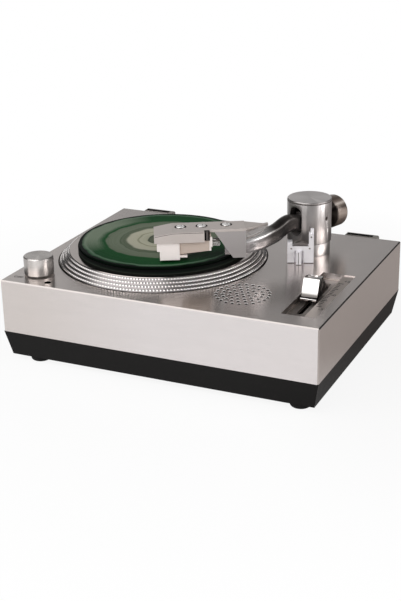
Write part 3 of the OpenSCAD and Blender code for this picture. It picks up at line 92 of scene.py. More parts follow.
def mixedTones(colour, spread):
    darker = tuple(channel * (1 - spread) for channel in colour[:3]) + (1.0,)
    lighter = tuple(min(1.0, channel * (1 + spread)) for channel in colour[:3]) + (1.0,)
    return list(zip(noiseSpan, (darker, lighter)))


def feed(tree, socket, value):
    if isinstance(value, bpy.types.NodeSocket):
        tree.links.new(value, socket)
    else:
        socket.default_value = value


def addNode(tree, kind, inputs, **settings):
    node = tree.nodes.new("ShaderNode" + kind)
    for key, value in settings.items():
        setattr(node, key, value)
    for key, value in inputs.items():
        feed(tree, node.inputs[key], value)
    return node


def startFinish(name, colour, rough, metal, shine=0.5):
    finish = bpy.data.materials.new(name)
    finish.use_nodes = True
    finish.diffuse_color = colour
    tree = finish.node_tree
    shader = tree.nodes["Principled BSDF"]
    plain = {"Base Color": colour, "Roughness": rough, "Metallic": metal, "Specular IOR Level": shine}
    for key, value in plain.items():
        feed(tree, shader.inputs[key], value)
    return finish, tree, shader


def sourceOut(tree, kind, name):
    return tree.nodes.new("ShaderNode" + kind).outputs[name]


def mathOut(tree, operation, first, second=0.0):
    return addNode(tree, "Math", {0: first, 1: second}, operation=operation).outputs[0]


def vectorOut(tree, operation, first, second=(0, 0, 0)):
    node = addNode(tree, "VectorMath", {0: first, 1: second}, operation=operation)
    return node.outputs["Value"] if operation in ("LENGTH", "DOT_PRODUCT") else node.outputs[0]


def objectPoint(tree, centre=(0, 0, 0), stretch=(1, 1, 1)):
    moved = vectorOut(tree, "SUBTRACT", sourceOut(tree, "TexCoord", "Object"), tuple(centre))
    return vectorOut(tree, "MULTIPLY", moved, stretch)


def radiusOut(tree, centre):
    return vectorOut(tree, "LENGTH", objectPoint(tree, centre, (1, 1, 0)))


def partsOut(tree, vector):
    return addNode(tree, "SeparateXYZ", {0: vector}).outputs


def lineOut(tree, value):
    return addNode(tree, "CombineXYZ", {"X": value}).outputs[0]


def grainOut(tree, point, scale, detail=2.0):
    return addNode(tree, "TexNoise", {"Vector": point, "Scale": scale, "Detail": detail}).outputs["Fac"]


def rampOut(tree, value, stops):
    node = addNode(tree, "ValToRGB", {"Fac": value})
    points = node.color_ramp.elements
    while len(points) < len(stops):
        points.new(1.0)
    for point, (place, colour) in zip(points, stops):
        point.position = place
        point.color = colour
    return node.outputs["Color"]


def rangeOut(tree, value, low, high, fromLow=0.0, fromHigh=1.0):
    ends = {"From Min": fromLow, "From Max": fromHigh, "To Min": low, "To Max": high}
    return addNode(tree, "MapRange", {"Value": value, **ends}).outputs["Result"]


def shareOut(tree, value, start, end):
    return rangeOut(tree, value, 0.0, 1.0, start, end)


def riseOut(tree, low, high):
    return shareOut(tree, partsOut(tree, objectPoint(tree))["Z"], low.z, high.z)


def aroundOut(tree, flat, gains):
    bearing = mathOut(tree, "ARCTAN2", flat["Y"], flat["X"])
    around = shareOut(tree, bearing, -math.pi, math.pi)
    return rampOut(tree, around, [((angle + 180) / 360, grey(gain)) for angle, gain in gains])


def mixOut(tree, share, first, second):
    return addNode(tree, "Mix", {"Factor": share, 6: first, 7: second}, data_type="RGBA").outputs[2]


def tintOut(tree, tones, gain):
    return vectorOut(tree, "MULTIPLY", tones, gain)


def setColour(tree, shader, value):
    feed(tree, shader.inputs["Base Color"], value)


def setGloss(tree, shader, grain, low, high):
    feed(tree, shader.inputs["Roughness"], rangeOut(tree, grain, low, high, *noiseSpan))


def addBump(tree, shader, height, strength):
    node = addNode(tree, "Bump", {"Strength": strength, "Distance": bumpDepth, "Height": height})
    feed(tree, shader.inputs["Normal"], node.outputs["Normal"])


def addTurning(tree, shader, amount):
    tangent = addNode(tree, "Tangent", {}, direction_type="RADIAL", axis="Z")
    feed(tree, shader.inputs["Tangent"], tangent.outputs["Tangent"])
    shader.inputs["Anisotropic"].default_value = amount
    shader.inputs["Anisotropic Rotation"].default_value = 0.25  # a quarter of a turn


# Paints and plain metals, with a fine grain and broad soft patches

paintLook = {"patch": 40, "patchDetail": 2.0, "fineDetail": 3.0, "dull": 1.15, "shiny": 0.85}


def paintFinish(name, levels, rough, metal, grain, bump, spread=0.04, shine=0.5):
    colour = tone(*levels)
    finish, tree, shader = startFinish(name + "_look", colour, rough, metal, shine)
    point = objectPoint(tree)
    broad = grainOut(tree, point, grain / paintLook["patch"], paintLook["patchDetail"])
    fine = grainOut(tree, point, grain, paintLook["fineDetail"])
    setColour(tree, shader, rampOut(tree, broad, mixedTones(colour, spread)))
    setGloss(tree, shader, fine, rough * paintLook["shiny"], rough * paintLook["dull"])
    addBump(tree, shader, fine, bump)
    return finish


# Brushed silver of the cover and the panel, with its lines along x

brushLook = {
    "lines": 5200, "lineStretch": (0.04, 1, 1), "lineShare": 0.7,
    "broad": 240, "broadStretch": (0.15, 1, 1), "broadShare": 0.3,
    "spread": 0.035, "dull": 1.1, "shiny": 0.9, "bump": 0.012,
    "edgeLean": 0.7, "edgeSpan": (0.1, 0.25), "wallSpan": (0.3, 0.5), "floorSpan": (0.5, 0.9),
}


def brushedFinish(name, colour, look, pits=None, floor=None):
    finish, tree, shader = startFinish(name, colour, look["rough"], metal=1.0)
    facing = partsOut(tree, sourceOut(tree, "NewGeometry", "True Normal"))
    place = partsOut(tree, objectPoint(tree))
    straight = mathOut(tree, "SUBTRACT", 1.0, mathOut(tree, "ABSOLUTE", facing["X"]))
    across = addNode(tree, "CombineXYZ", {"Y": straight, "Z": 1.0})
    feed(tree, shader.inputs["Tangent"], across.outputs[0])
    shader.inputs["Anisotropic"].default_value = look["brushing"]
    lines = grainOut(tree, objectPoint(tree, stretch=brushLook["lineStretch"]), brushLook["lines"])
    broad = grainOut(tree, objectPoint(tree, stretch=brushLook["broadStretch"]), brushLook["broad"])
    finePart = mathOut(tree, "MULTIPLY", lines, brushLook["lineShare"])
    broadPart = mathOut(tree, "MULTIPLY", broad, brushLook["broadShare"])
    both = mathOut(tree, "ADD", finePart, broadPart)
    tones = rampOut(tree, both, mixedTones(colour, brushLook["spread"]))

    # Painted shade: the rounded edges made darker
    lean = mathOut(tree, "SUBTRACT", facing["Z"], brushLook["edgeLean"])
    edge = mathOut(tree, "ABSOLUTE", lean)
    edgeGain = rangeOut(tree, edge, look["edge"], 1.0, *brushLook["edgeSpan"])
    tones = tintOut(tree, tones, edgeGain)

    # Painted light: front faces lighter over a span of x, and right faces lighter
    along = shareOut(tree, place["X"], look["from"], look["to"])
    ahead = rangeOut(tree, facing["Y"], 1.0, 0.0, -squareOn[1], -squareOn[0])
    frontShare = mathOut(tree, "MULTIPLY", ahead, along)
    frontGain = rampOut(tree, frontShare, [(0.0, pureWhite), (1.0, look["front"])])
    tones = tintOut(tree, tones, frontGain)
    rightGain = rangeOut(tree, facing["X"], 1.0, look["right"], *squareOn)
    tones = tintOut(tree, tones, rightGain)
    # Painted shade: the walls of the sound holes near black
    if pits:
        radius = radiusOut(tree, pits["centre"])
        outside = shareOut(tree, radius, pits["reach"], pits["reach"] + thinBlur)
        level = shareOut(tree, mathOut(tree, "ABSOLUTE", facing["Z"]), *brushLook["wallSpan"])
        tones = tintOut(tree, tones, mathOut(tree, "MAXIMUM", outside, level))
    # Painted shade: the sunk floor of the fader's channel darker
    if floor:
        below = rangeOut(tree, place["Z"], 1.0, 0.0, floor["level"], floor["level"] + thinBlur)
        upward = shareOut(tree, facing["Z"], *brushLook["floorSpan"])
        sunk = mathOut(tree, "MULTIPLY", below, upward)
        tones = tintOut(tree, tones, rangeOut(tree, sunk, 1.0, floor["tone"]))
    setColour(tree, shader, tones)
    setGloss(tree, shader, lines, look["rough"] * brushLook["shiny"], look["rough"] * brushLook["dull"])
    addBump(tree, shader, lines, brushLook["bump"])
    return finish


# Turned metal of the knob and the post, with painted reflections as streaks by bearing, and painted shade
# on inner faces

turnedLook = {
    "metal": 0.88, "pitch": 0.12 * mm, "spread": 0.05, "dull": 1.15, "shiny": 0.85, "bump": 0.015,
    "top": 0.78, "topSpan": (0.5, 0.8), "inside": 0.01, "insideSpan": (-4 * mm, -2 * mm),
}


def turnedFinish(name, colour, centre, look):
    finish, tree, shader = startFinish(name, colour, look["rough"], turnedLook["metal"])
    height = partsOut(tree, objectPoint(tree))["Z"]
    line = mathOut(tree, "ADD", radiusOut(tree, centre), height)
    fine = grainOut(tree, lineOut(tree, line), 1 / turnedLook["pitch"])
    tones = rampOut(tree, fine, mixedTones(colour, turnedLook["spread"]))
    normal = sourceOut(tree, "TexCoord", "Normal")
    # Painted reflection: tone by bearing round the axis, with upright faces kept light
    spoke = objectPoint(tree, centre, (1, 1, 0))
    gains = aroundOut(tree, partsOut(tree, spoke), look["reflectionStreaks"])
    upright = mathOut(tree, "ABSOLUTE", partsOut(tree, normal)["Z"])
    level = rangeOut(tree, upright, 0.0, turnedLook["top"], *turnedLook["topSpan"])
    tones = tintOut(tree, tones, vectorOut(tree, "MAXIMUM", gains, level))
    # Painted shade: faces that look in towards the axis near black
    outward = vectorOut(tree, "DOT_PRODUCT", normal, spoke)
    keep = rangeOut(tree, outward, turnedLook["inside"], 1.0, *turnedLook["insideSpan"])
    setColour(tree, shader, tintOut(tree, tones, keep))
    setGloss(tree, shader, fine, look["rough"] * turnedLook["shiny"], look["rough"] * turnedLook["dull"])
    addBump(tree, shader, fine, turnedLook["bump"])
    addTurning(tree, shader, look["turning"])
    return finish


# Edge, front and right hold the gains of painted shade and painted light on faces
coverLook = {
    "rough": 0.23, "brushing": 0.8, "edge": 0.6,
    "from": -60 * mm, "to": 0.0, "front": (1.12, 1.145, 1.185, 1), "right": 1.15,
}
# Centre and reach of the painted shade on the sound holes' walls
grillePits = {"centre": Vector((speakerMid.x, speakerMid.y, deckMid.z)), "reach": 13 * mm}
panelLook = {
    "rough": 0.42, "brushing": 0.4, "edge": 0.5,
    "from": -1 * mm, "to": 0.0, "front": (1.4, 1.42, 1.44, 1), "right": 1.0,
}
# Painted shade on the floor of the fader's channel
channelFloor = {"level": deckMid.z - 2.6 * mm, "tone": 0.42}
silverPaint = brushedFinish("silver_paint_look", tone(221, 213, 209), coverLook, pits=grillePits)
panelPaint = brushedFinish("panel_look", tone(212, 202, 196), panelLook, floor=channelFloor)

# Tone, roughness, metal, grain and bump of each paint, then spread and shine where they aren't as usual
paintRows = {
    "hinge": ((150, 145, 140), 0.5, 0.3, 3600, 0.15),
    "black_plastic": ((11, 9, 8), 0.5, 0.0, 3600, 0.25, 0.08, 0.18),
    "rubber": ((16, 15, 15), 0.75, 0.0, 2500, 0.3, 0.1, 0.25),
    "lens": ((2, 2, 2), 0.35, 0.0, 900, 0.02, 0.2, 0.0),
    "steel": ((205, 202, 198), 0.25, 1.0, 2400, 0.04),
    "brass": ((205, 176, 110), 0.3, 1.0, 2400, 0.05),
    "tinned": ((186, 186, 186), 0.35, 1.0, 1800, 0.05),
    # Painted shade: the pot under the fader's slot is dark, so the slot looks black
    "tin_in_shade": ((30, 28, 27), 0.6, 1.0, 1800, 0.05),
    "magnet": ((58, 58, 60), 0.6, 0.2, 2400, 0.2),
    "board": ((36, 92, 48), 0.45, 0.0, 1500, 0.1),
    "chrome": ((232, 229, 227), 0.1, 1.0, 1600, 0.01, 0.02),
    "rest_silver": ((245, 243, 246), 0.42, 0.3, 5200, 0.25, 0.03),
    "shell_silver": ((207, 198, 193), 0.5, 0.4, 5200, 0.2, 0.02),
    "plate_silver": ((184, 179, 178), 0.42, 0.6, 5200, 0.15, 0.02),
    "dark_steel": ((96, 88, 84), 0.4, 1.0, 2400, 0.05),
    "beige": ((204, 188, 176), 0.45, 0.0, 3000, 0.08),
    "white": ((248, 239, 235), 0.35, 0.0, 2600, 0.05, 0.02),
    "stylus": ((210, 210, 208), 0.2, 1.0, 2600, 0.04),
    "dot": ((232, 228, 226), 0.14, 1.0, 2400, 0.02),
    "ink": ((28, 25, 24), 0.6, 0.0, 3000, 0.05, 0.04, 0.1),
    "gap": ((7, 6, 6), 0.7, 0.0, 3000, 0.05, 0.04, 0.05),
    "line": ((92, 86, 84), 0.6, 0.0, 3000, 0.05, 0.04, 0.1),
    # Painted highlight: light rings round the sound holes
    "lip": ((238, 233, 230), 0.35, 0.3, 2400, 0.02, 0.02),
    "dome": ((248, 245, 243), 0.25, 0.45, 2400, 0.02, 0.02),
    "post": ((96, 90, 88), 0.4, 0.6, 3000, 0.05),
    "saddle": ((150, 144, 142), 0.38, 0.8, 4200, 0.08),
}
paints = {name: paintFinish(name, *row) for name, row in paintRows.items()}

knobLook = {"rough": 0.3, "turning": 0.8, "reflectionStreaks": [
    (-180, 0.5), (-140, 0.52), (-105, 0.6), (-85, 0.68), (-70, 0.92), (-56, 1.0), (-42, 0.88),
    (-14, 0.52), (20, 0.45), (90, 0.6), (140, 0.5),
]}
turretLook = {"rough": 0.32, "turning": 0.6, "reflectionStreaks": [
    (-180, 0.3), (-140, 0.3), (-110, 0.34), (-75, 0.4), (-58, 0.6), (-44, 0.95), (-36, 1.0),
    (-24, 0.85), (-8, 0.62), (20, 0.5), (100, 0.6), (140, 0.4),
]}
knobMetal = turnedFinish("knob_look", tone(236, 230, 226), knobMid, knobLook)
turretMetal = turnedFinish("turret_look", tone(240, 234, 232), postMid, turretLook)

# The platter and what lies on it

dotShape = {
    "rows": 4, "count": 200, "across": 0.6, "lift": 0.3, "sink": 0.05, "segments": 8, "rings": 6,
    "outer": 47.4, "outerZ": 0.2, "inner": 42.4, "innerZ": 5.0,
}
platterLook = {
    "tones": [(0.0, (206, 197, 192)), (1.0, (150, 145, 144))], "step": 0.3 * mm,
    "gloss": (0.1, 0.16), "rimDull": 0.14, "rings": 5200, "bump": 0.05,
}


def platterFinish():
    finish, tree, shader = startFinish("platter_look", tone(206, 198, 193), rough=0.22, metal=1.0)
    radius = radiusOut(tree, platterMid)
    rimStart = dotShape["inner"] * mm
    rim = shareOut(tree, radius, rimStart, rimStart + platterLook["step"])
    setColour(tree, shader, rampOut(tree, rim, toneStops(platterLook["tones"])))
    rings = grainOut(tree, lineOut(tree, radius), platterLook["rings"])
    gloss = rangeOut(tree, rings, *platterLook["gloss"], *noiseSpan)
    rimGloss = mathOut(tree, "MULTIPLY", rim, platterLook["rimDull"])
    feed(tree, shader.inputs["Roughness"], mathOut(tree, "ADD", gloss, rimGloss))
    addBump(tree, shader, rings, platterLook["bump"])
    return finish


matLook = {
    "tones": [(0.0, (40, 44, 40)), (0.2, (12, 22, 15)), (0.5, (3, 10, 6)), (0.9, (2, 3, 3))],
    "grain": 3000, "bump": 0.2,
}


def matFinish():
    finish, tree, shader = startFinish("mat_look", tone(6, 9, 7), rough=0.7, metal=0.0, shine=0.1)
    # Painted reflection: the mat's side lighter towards its foot
    rise = riseOut(tree, *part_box("platter_mat"))
    setColour(tree, shader, rampOut(tree, rise, toneStops(matLook["tones"])))
    fine = grainOut(tree, objectPoint(tree), matLook["grain"], detail=3.0)
    addBump(tree, shader, fine, matLook["bump"])
    return finish


recordLook = {
    "radius": 38.1 * mm, "wobble": 0.5 * mm, "wobbleGrain": 130,
    "grooves": 3800, "gloss": (0.2, 0.34), "bump": 0.1,
    "paleReflection": (122, 134, 116), "paleReflectionMost": 0.85, "paleReflectionSpan": (0.6, 0.95),
    "paleReflectionStart": (0.7, 0.78), "paleReflectionEnd": (0.93, 0.97),
    "bands": [
        (0.0, (92, 98, 82)), (0.15, (92, 98, 82)), (0.17, (60, 68, 56)), (0.19, (168, 168, 148)),
        (0.27, (178, 176, 156)), (0.29, (132, 134, 114)), (0.31, (176, 174, 154)), (0.42, (176, 174, 156)),
        (0.45, (88, 98, 80)), (0.5, (92, 102, 84)), (0.51, (70, 82, 64)), (0.52, (106, 116, 98)),
        (0.66, (100, 110, 92)), (0.685, (16, 70, 32)), (0.8, (14, 66, 29)), (0.9, (16, 62, 30)),
        (0.925, (84, 108, 88)), (0.95, (46, 78, 54)), (0.97, (6, 14, 9)),
    ],
}


def recordFinish():
    finish, tree, shader = startFinish("record_look", tone(30, 84, 44), rough=0.25, metal=0.0, shine=0.012)
    radius = radiusOut(tree, platterMid)
    waves = grainOut(tree, objectPoint(tree, platterMid), recordLook["wobbleGrain"], detail=1.0)
    loose = mathOut(tree, "MULTIPLY", rangeOut(tree, waves, -1.0, 1.0, *noiseSpan), recordLook["wobble"])
    share = shareOut(tree, mathOut(tree, "ADD", radius, loose), 0.0, recordLook["radius"])
    bands = rampOut(tree, share, toneStops(recordLook["bands"]))

    # Painted reflection: a pale patch on the outer left, which turns with the record
    place = partsOut(tree, objectPoint(tree, platterMid))
    leftward = mathOut(tree, "DIVIDE", mathOut(tree, "MULTIPLY", place["X"], -1.0), radius)
    paleReflection = rangeOut(tree, leftward, 0.0, recordLook["paleReflectionMost"], *recordLook["paleReflectionSpan"])
    outer = shareOut(tree, share, *recordLook["paleReflectionStart"])
    inner = rangeOut(tree, share, 1.0, 0.0, *recordLook["paleReflectionEnd"])
    patch = mathOut(tree, "MULTIPLY", mathOut(tree, "MULTIPLY", paleReflection, outer), inner)
    setColour(tree, shader, mixOut(tree, patch, bands, tone(*recordLook["paleReflection"])))
    grooves = grainOut(tree, lineOut(tree, radius), recordLook["grooves"], detail=3.0)
    setGloss(tree, shader, grooves, *recordLook["gloss"])
    addBump(tree, shader, grooves, recordLook["bump"])
    return finish


# The arm, the fader cap and the weight, with painted reflections: their tones stand for what they mirror

armLook = {
    "tones": [
        (0.0, (126, 120, 118)), (0.2, (92, 87, 85)), (0.4, (52, 49, 47)), (0.6, (84, 80, 78)),
        (0.8, (176, 171, 171)), (0.9, (206, 202, 203)),
    ],
    "toneRun": (6 * mm, 44 * mm), "light": (246, 243, 241), "lightRun": (26 * mm, 34 * mm),
    "upward": (0.25, 0.7), "grain": 4200, "gloss": (0.21, 0.27), "bump": 0.03,
}


def armFinish():
    finish, tree, shader = startFinish("arm_silver_look", tone(122, 116, 113), rough=0.24, metal=0.75)
    facing = partsOut(tree, sourceOut(tree, "NewGeometry", "Normal"))
    # Painted highlight: upward faces towards the head end lighter
    upward = shareOut(tree, facing["Z"], *armLook["upward"])
    away = radiusOut(tree, postMid)
    topShare = mathOut(tree, "MULTIPLY", upward, shareOut(tree, away, *armLook["lightRun"]))
    # Painted reflection: tones that change with the distance from the post
    tones = rampOut(tree, shareOut(tree, away, *armLook["toneRun"]), toneStops(armLook["tones"]))
    setColour(tree, shader, mixOut(tree, topShare, tones, tone(*armLook["light"])))
    fine = grainOut(tree, objectPoint(tree), armLook["grain"], detail=3.0)
    setGloss(tree, shader, fine, *armLook["gloss"])
    addBump(tree, shader, fine, armLook["bump"])
    return finish


capLook = {
    "tones": [
        (0.0, (226, 222, 220)), (0.1, (226, 222, 220)), (0.13, (84, 80, 78)), (0.24, (104, 100, 97)),
        (0.42, (238, 235, 233)),
    ],
    "side": 0.2, "sideSpan": (0.7, 0.95), "grain": 1600, "gloss": (0.08, 0.12),
}


def capFinish():
    finish, tree, shader = startFinish("cap_look", tone(236, 233, 231), rough=0.1, metal=1.0)
    # Painted reflection: tones by height, with a dark band above the light foot
    tones = rampOut(tree, riseOut(tree, *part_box("pitch_cap")), toneStops(capLook["tones"]))
    # Painted shade: faces that look sideways darker
    facing = partsOut(tree, sourceOut(tree, "NewGeometry", "True Normal"))
    sideways = mathOut(tree, "ABSOLUTE", facing["X"])
    keep = rangeOut(tree, sideways, 1.0, capLook["side"], *capLook["sideSpan"])
    setColour(tree, shader, tintOut(tree, tones, keep))
    setGloss(tree, shader, grainOut(tree, objectPoint(tree), capLook["grain"]), *capLook["gloss"])
    return finish


weightLook = {
    "heading": -110, "from": -90, "to": 180, "end": 0.22, "endSpan": (0.6, 0.9),
    "rings": 4200, "gloss": (0.25, 0.4), "bump": 0.1,
    "tones": [
        (-60, (84, 73, 66)), (-16, (130, 116, 107)), (4, (190, 175, 164)), (16, (158, 143, 133)),
        (28, (82, 71, 65)), (36, (130, 117, 108)), (44, (240, 228, 218)), (53, (150, 135, 126)),
        (66, (104, 92, 84)), (92, (128, 115, 107)), (130, (104, 93, 86)),
    ],
}


def weightFinish():
    finish, tree, shader = startFinish("weight_look", tone(120, 108, 100), rough=0.3, metal=0.4)
    heading = math.radians(weightLook["heading"])
    along = (math.cos(heading), math.sin(heading), 0)
    across = (-math.sin(heading), math.cos(heading), 0)
    # Painted reflection: streaks of tone by the angle round the weight's axis
    point = objectPoint(tree, weightMid)
    outward = vectorOut(tree, "DOT_PRODUCT", point, across)
    around = mathOut(tree, "ARCTAN2", partsOut(tree, point)["Z"], outward)
    first, last = weightLook["from"], weightLook["to"]
    share = shareOut(tree, around, math.radians(first), math.radians(last))
    stops = [((angle - first) / (last - first), tone(*levels)) for angle, levels in weightLook["tones"]]
    # Painted shade: the end faces darker
    normal = sourceOut(tree, "TexCoord", "Normal")
    ends = mathOut(tree, "ABSOLUTE", vectorOut(tree, "DOT_PRODUCT", normal, along))
    keep = rangeOut(tree, ends, 1.0, weightLook["end"], *weightLook["endSpan"])
    setColour(tree, shader, tintOut(tree, rampOut(tree, share, stops), keep))
    depth = vectorOut(tree, "DOT_PRODUCT", point, along)
    rings = grainOut(tree, lineOut(tree, depth), weightLook["rings"])
    setGloss(tree, shader, rings, *weightLook["gloss"])
    addBump(tree, shader, rings, weightLook["bump"])
    return finish


matBlack = matFinish()
capChrome = capFinish()
armSilver = armFinish()
platterMetal = platterFinish()
recordVinyl = recordFinish()
weightNickel = weightFinish()

looks = {
    silverPaint: ["top_cover"],
    panelPaint: ["slider_panel"],
    paints["hinge"]: ["hinge_sockets"],
    paints["black_plastic"]: ["base_pan", "hinge_pads", "audio_socket", "power_socket", "board_parts",
                              "speaker_cone"],
    paints["lens"]: ["power_led"],
    paints["rubber"]: ["rubber_feet", "drive_belt", "motor_ring"],
    matBlack: ["platter_mat"],
    platterMetal: ["platter"],
    recordVinyl: ["record"],
    paints["steel"]: ["spindle", "base_screws", "motor_screws", "board_screws", "volume_shaft",
                      "pitch_stem", "pivot_nut", "counterweight_stem", "cartridge_leads"],
    paints["brass"]: ["spindle_bush", "motor_pulley"],
    paints["tinned"]: ["motor", "volume_pot", "speaker_basket"],
    paints["tin_in_shade"]: ["pitch_pot"],
    paints["magnet"]: ["speaker_magnet"],
    knobMetal: ["volume_knob"],
    turretMetal: ["pivot_base", "turret", "turret_cap"],
    paints["chrome"]: ["headshell_screws"],
    capChrome: ["pitch_cap"],
    armSilver: ["tonearm", "pivot_block"],
    paints["rest_silver"]: ["arm_rest"],
    paints["shell_silver"]: ["headshell"],
    weightNickel: ["counterweight"],
    paints["plate_silver"]: ["shell_bracket"],
    paints["dark_steel"]: ["pivot_pin"],
    paints["beige"]: ["cartridge"],
    paints["white"]: ["stylus_holder"],
    paints["stylus"]: ["stylus"],
    paints["board"]: ["circuit_board"],
}
for finish, names in looks.items():
    for name in names:
        for place in nodes[name].material_slots:
            place.material = finish
print("finishes set on", sum(len(names) for names in looks.values()), "nodes")

# Fine rounded edges on the CAD pieces that catch light, with widths in mm

edgeShape = {"weld": 0.002, "angle": 40, "segments": 2}
softEdges = {
    "headshell": 0.18, "shell_bracket": 0.25, "cartridge": 0.25, "stylus_holder": 0.3, "arm_rest": 0.25,
    "base_pan": 0.2, "pivot_block": 0.3, "volume_knob": 0.25, "turret": 0.25, "turret_cap": 0.2,
    "pivot_base": 0.2, "counterweight": 0.4, "record": 0.15, "spindle": 0.1,
}


def addSoftEdges(piece, width, angle):
    edge = piece.modifiers.new("soft_edges", "BEVEL")
    edge.width = width * mm
    edge.segments = edgeShape["segments"]
    edge.limit_method = "ANGLE"
    edge.angle_limit = math.radians(angle)
    return edge


for name, width in softEdges.items():
    weld = nodes[name].modifiers.new("join_edges", "WELD")
    weld.merge_threshold = edgeShape["weld"] * mm
    addSoftEdges(nodes[name], width, edgeShape["angle"]).harden_normals = True
print("edges softened on", len(softEdges), "nodes")

# Small helpers for new pieces


def clearSelection():
    bpy.ops.object.select_all(action="DESELECT")


def selectOnly(piece):
    clearSelection()
    piece.select_set(True)
    bpy.context.view_layer.objects.active = piece


def applyPlace():
    bpy.ops.object.transform_apply(location=True, rotation=True, scale=True)


def selectAll():
    bpy.ops.mesh.select_all(action="SELECT")


def startEdit():
    bpy.ops.object.mode_set(mode="EDIT")
    selectAll()


def endEdit():
    bpy.ops.object.mode_set(mode="OBJECT")


def pointOutwards():
    selectAll()
    bpy.ops.mesh.normals_make_consistent(inside=False)


def cutBelow(height):
    bpy.ops.mesh.bisect(plane_co=(0, 0, height), plane_no=(0, 0, 1), clear_inner=True, use_fill=True)


def joinInto(piece, others):
    selectOnly(piece)
    for other in others:
        other.select_set(True)
    bpy.ops.object.join()


def addInOne(spots, addShape):
    clearSelection()
    for index, spot in enumerate(spots):
        addShape(spot)
        if index == 0:
            piece = bpy.context.object
            applyPlace()
            bpy.ops.object.mode_set(mode="EDIT")
    selectAll()
    return piece


def finishPiece(piece, name, finish, body, smooth=35):
    piece.name = name
    piece.data.name = name
    piece.data.materials.clear()
    piece.data.materials.append(finish)
    selectOnly(piece)
    applyPlace()
    bpy.ops.object.shade_smooth_by_angle(angle=math.radians(smooth))
    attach(piece, body)
    clearSelection()


# The arm, a rounded section drawn out along its bend

armShape = {
    "start": 6.0, "heading": -110.0, "turn": 42.4, "reach": 38.5, "bend": 18.0, "tail": 12.0,
    "width": 4.6, "height": 7.2, "wide": 1.3, "tall": 0.9, "swell": 0.75,
    "round": 1.9, "roundSteps": 4, "stations": 36, "leastTurn": 1e-6,
    "hump": 1.5, "humpRun": 0.42, "fallFrom": 0.12, "fallRun": 0.76,
    "postZ": deckMid.z / mm + 15.4, "headZ": recordTop / mm + 4.4,
}


def armStation(share):
    cut = armShape["bend"] * math.tan(math.radians(armShape["turn"] / 2))
    straight = armShape["reach"] - cut - armShape["start"]
    curve = armShape["bend"] * math.radians(armShape["turn"])
    whole = straight + curve + armShape["tail"] - cut
    run = share * whole
    heading = math.radians(armShape["heading"])
    ahead = Vector((math.cos(heading), math.sin(heading), 0))
    spot = Vector((postMid.x / mm, postMid.y / mm, 0)) + ahead * (armShape["start"] + min(run, straight))
    if run > straight:
        turned = min(run - straight, curve) / armShape["bend"]
        side = Vector((ahead.y, -ahead.x, 0))
        spot += ahead * armShape["bend"] * math.sin(turned)
        spot += side * armShape["bend"] * (1 - math.cos(turned))
        heading -= turned
    if run > straight + curve:
        ahead = Vector((math.cos(heading), math.sin(heading), 0))
        spot += ahead * (run - straight - curve)
    ease = min(1.0, max(0.0, (share - armShape["fallFrom"]) / armShape["fallRun"]))
    spot.z = armShape["postZ"] + (armShape["headZ"] - armShape["postZ"]) * ease * ease * (3 - 2 * ease)
    if share < armShape["humpRun"]:
        spot.z += armShape["hump"] * (1 - math.cos(2 * math.pi * share / armShape["humpRun"])) / 2
    swell = (1 - math.cos(2 * math.pi * share ** armShape["swell"])) / 2
    wide = armShape["width"] + armShape["wide"] * swell
    tall = armShape["height"] + armShape["tall"] * swell
    return spot * mm, heading, wide * mm, tall * mm


def makeArm():
    clearSelection()
    spot, heading, wide, tall = armStation(0.0)
    facing = (math.pi / 2, 0, heading - math.pi / 2)
    bpy.ops.mesh.primitive_plane_add(size=1, location=spot, rotation=facing)
    piece = bpy.context.object
    piece.scale = (wide, tall, 1)
    applyPlace()
    startEdit()
    bpy.ops.mesh.bevel(offset=armShape["round"] * mm, segments=armShape["roundSteps"], affect="VERTICES")
    selectAll()
    for index in range(1, armShape["stations"] + 1):
        before = (spot, heading, wide, tall)
        spot, heading, wide, tall = armStation(index / armShape["stations"])
        bpy.ops.mesh.extrude_region_move(TRANSFORM_OT_translate={"value": spot - before[0]})
        turn = heading - before[1]
        if abs(turn) > armShape["leastTurn"]:
            bpy.ops.transform.rotate(value=-turn, orient_axis="Z", center_override=spot)
        side = wide / before[2]
        bpy.ops.transform.resize(value=(side, side, tall / before[3]), center_override=spot)
    pointOutwards()
    endEdit()
    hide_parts("tonearm")
    finishPiece(piece, "smooth_arm", armSilver, "arm")


makeArm()
print("arm made")

# Rows of dots on the sloped rim, one dot arrayed round the spindle


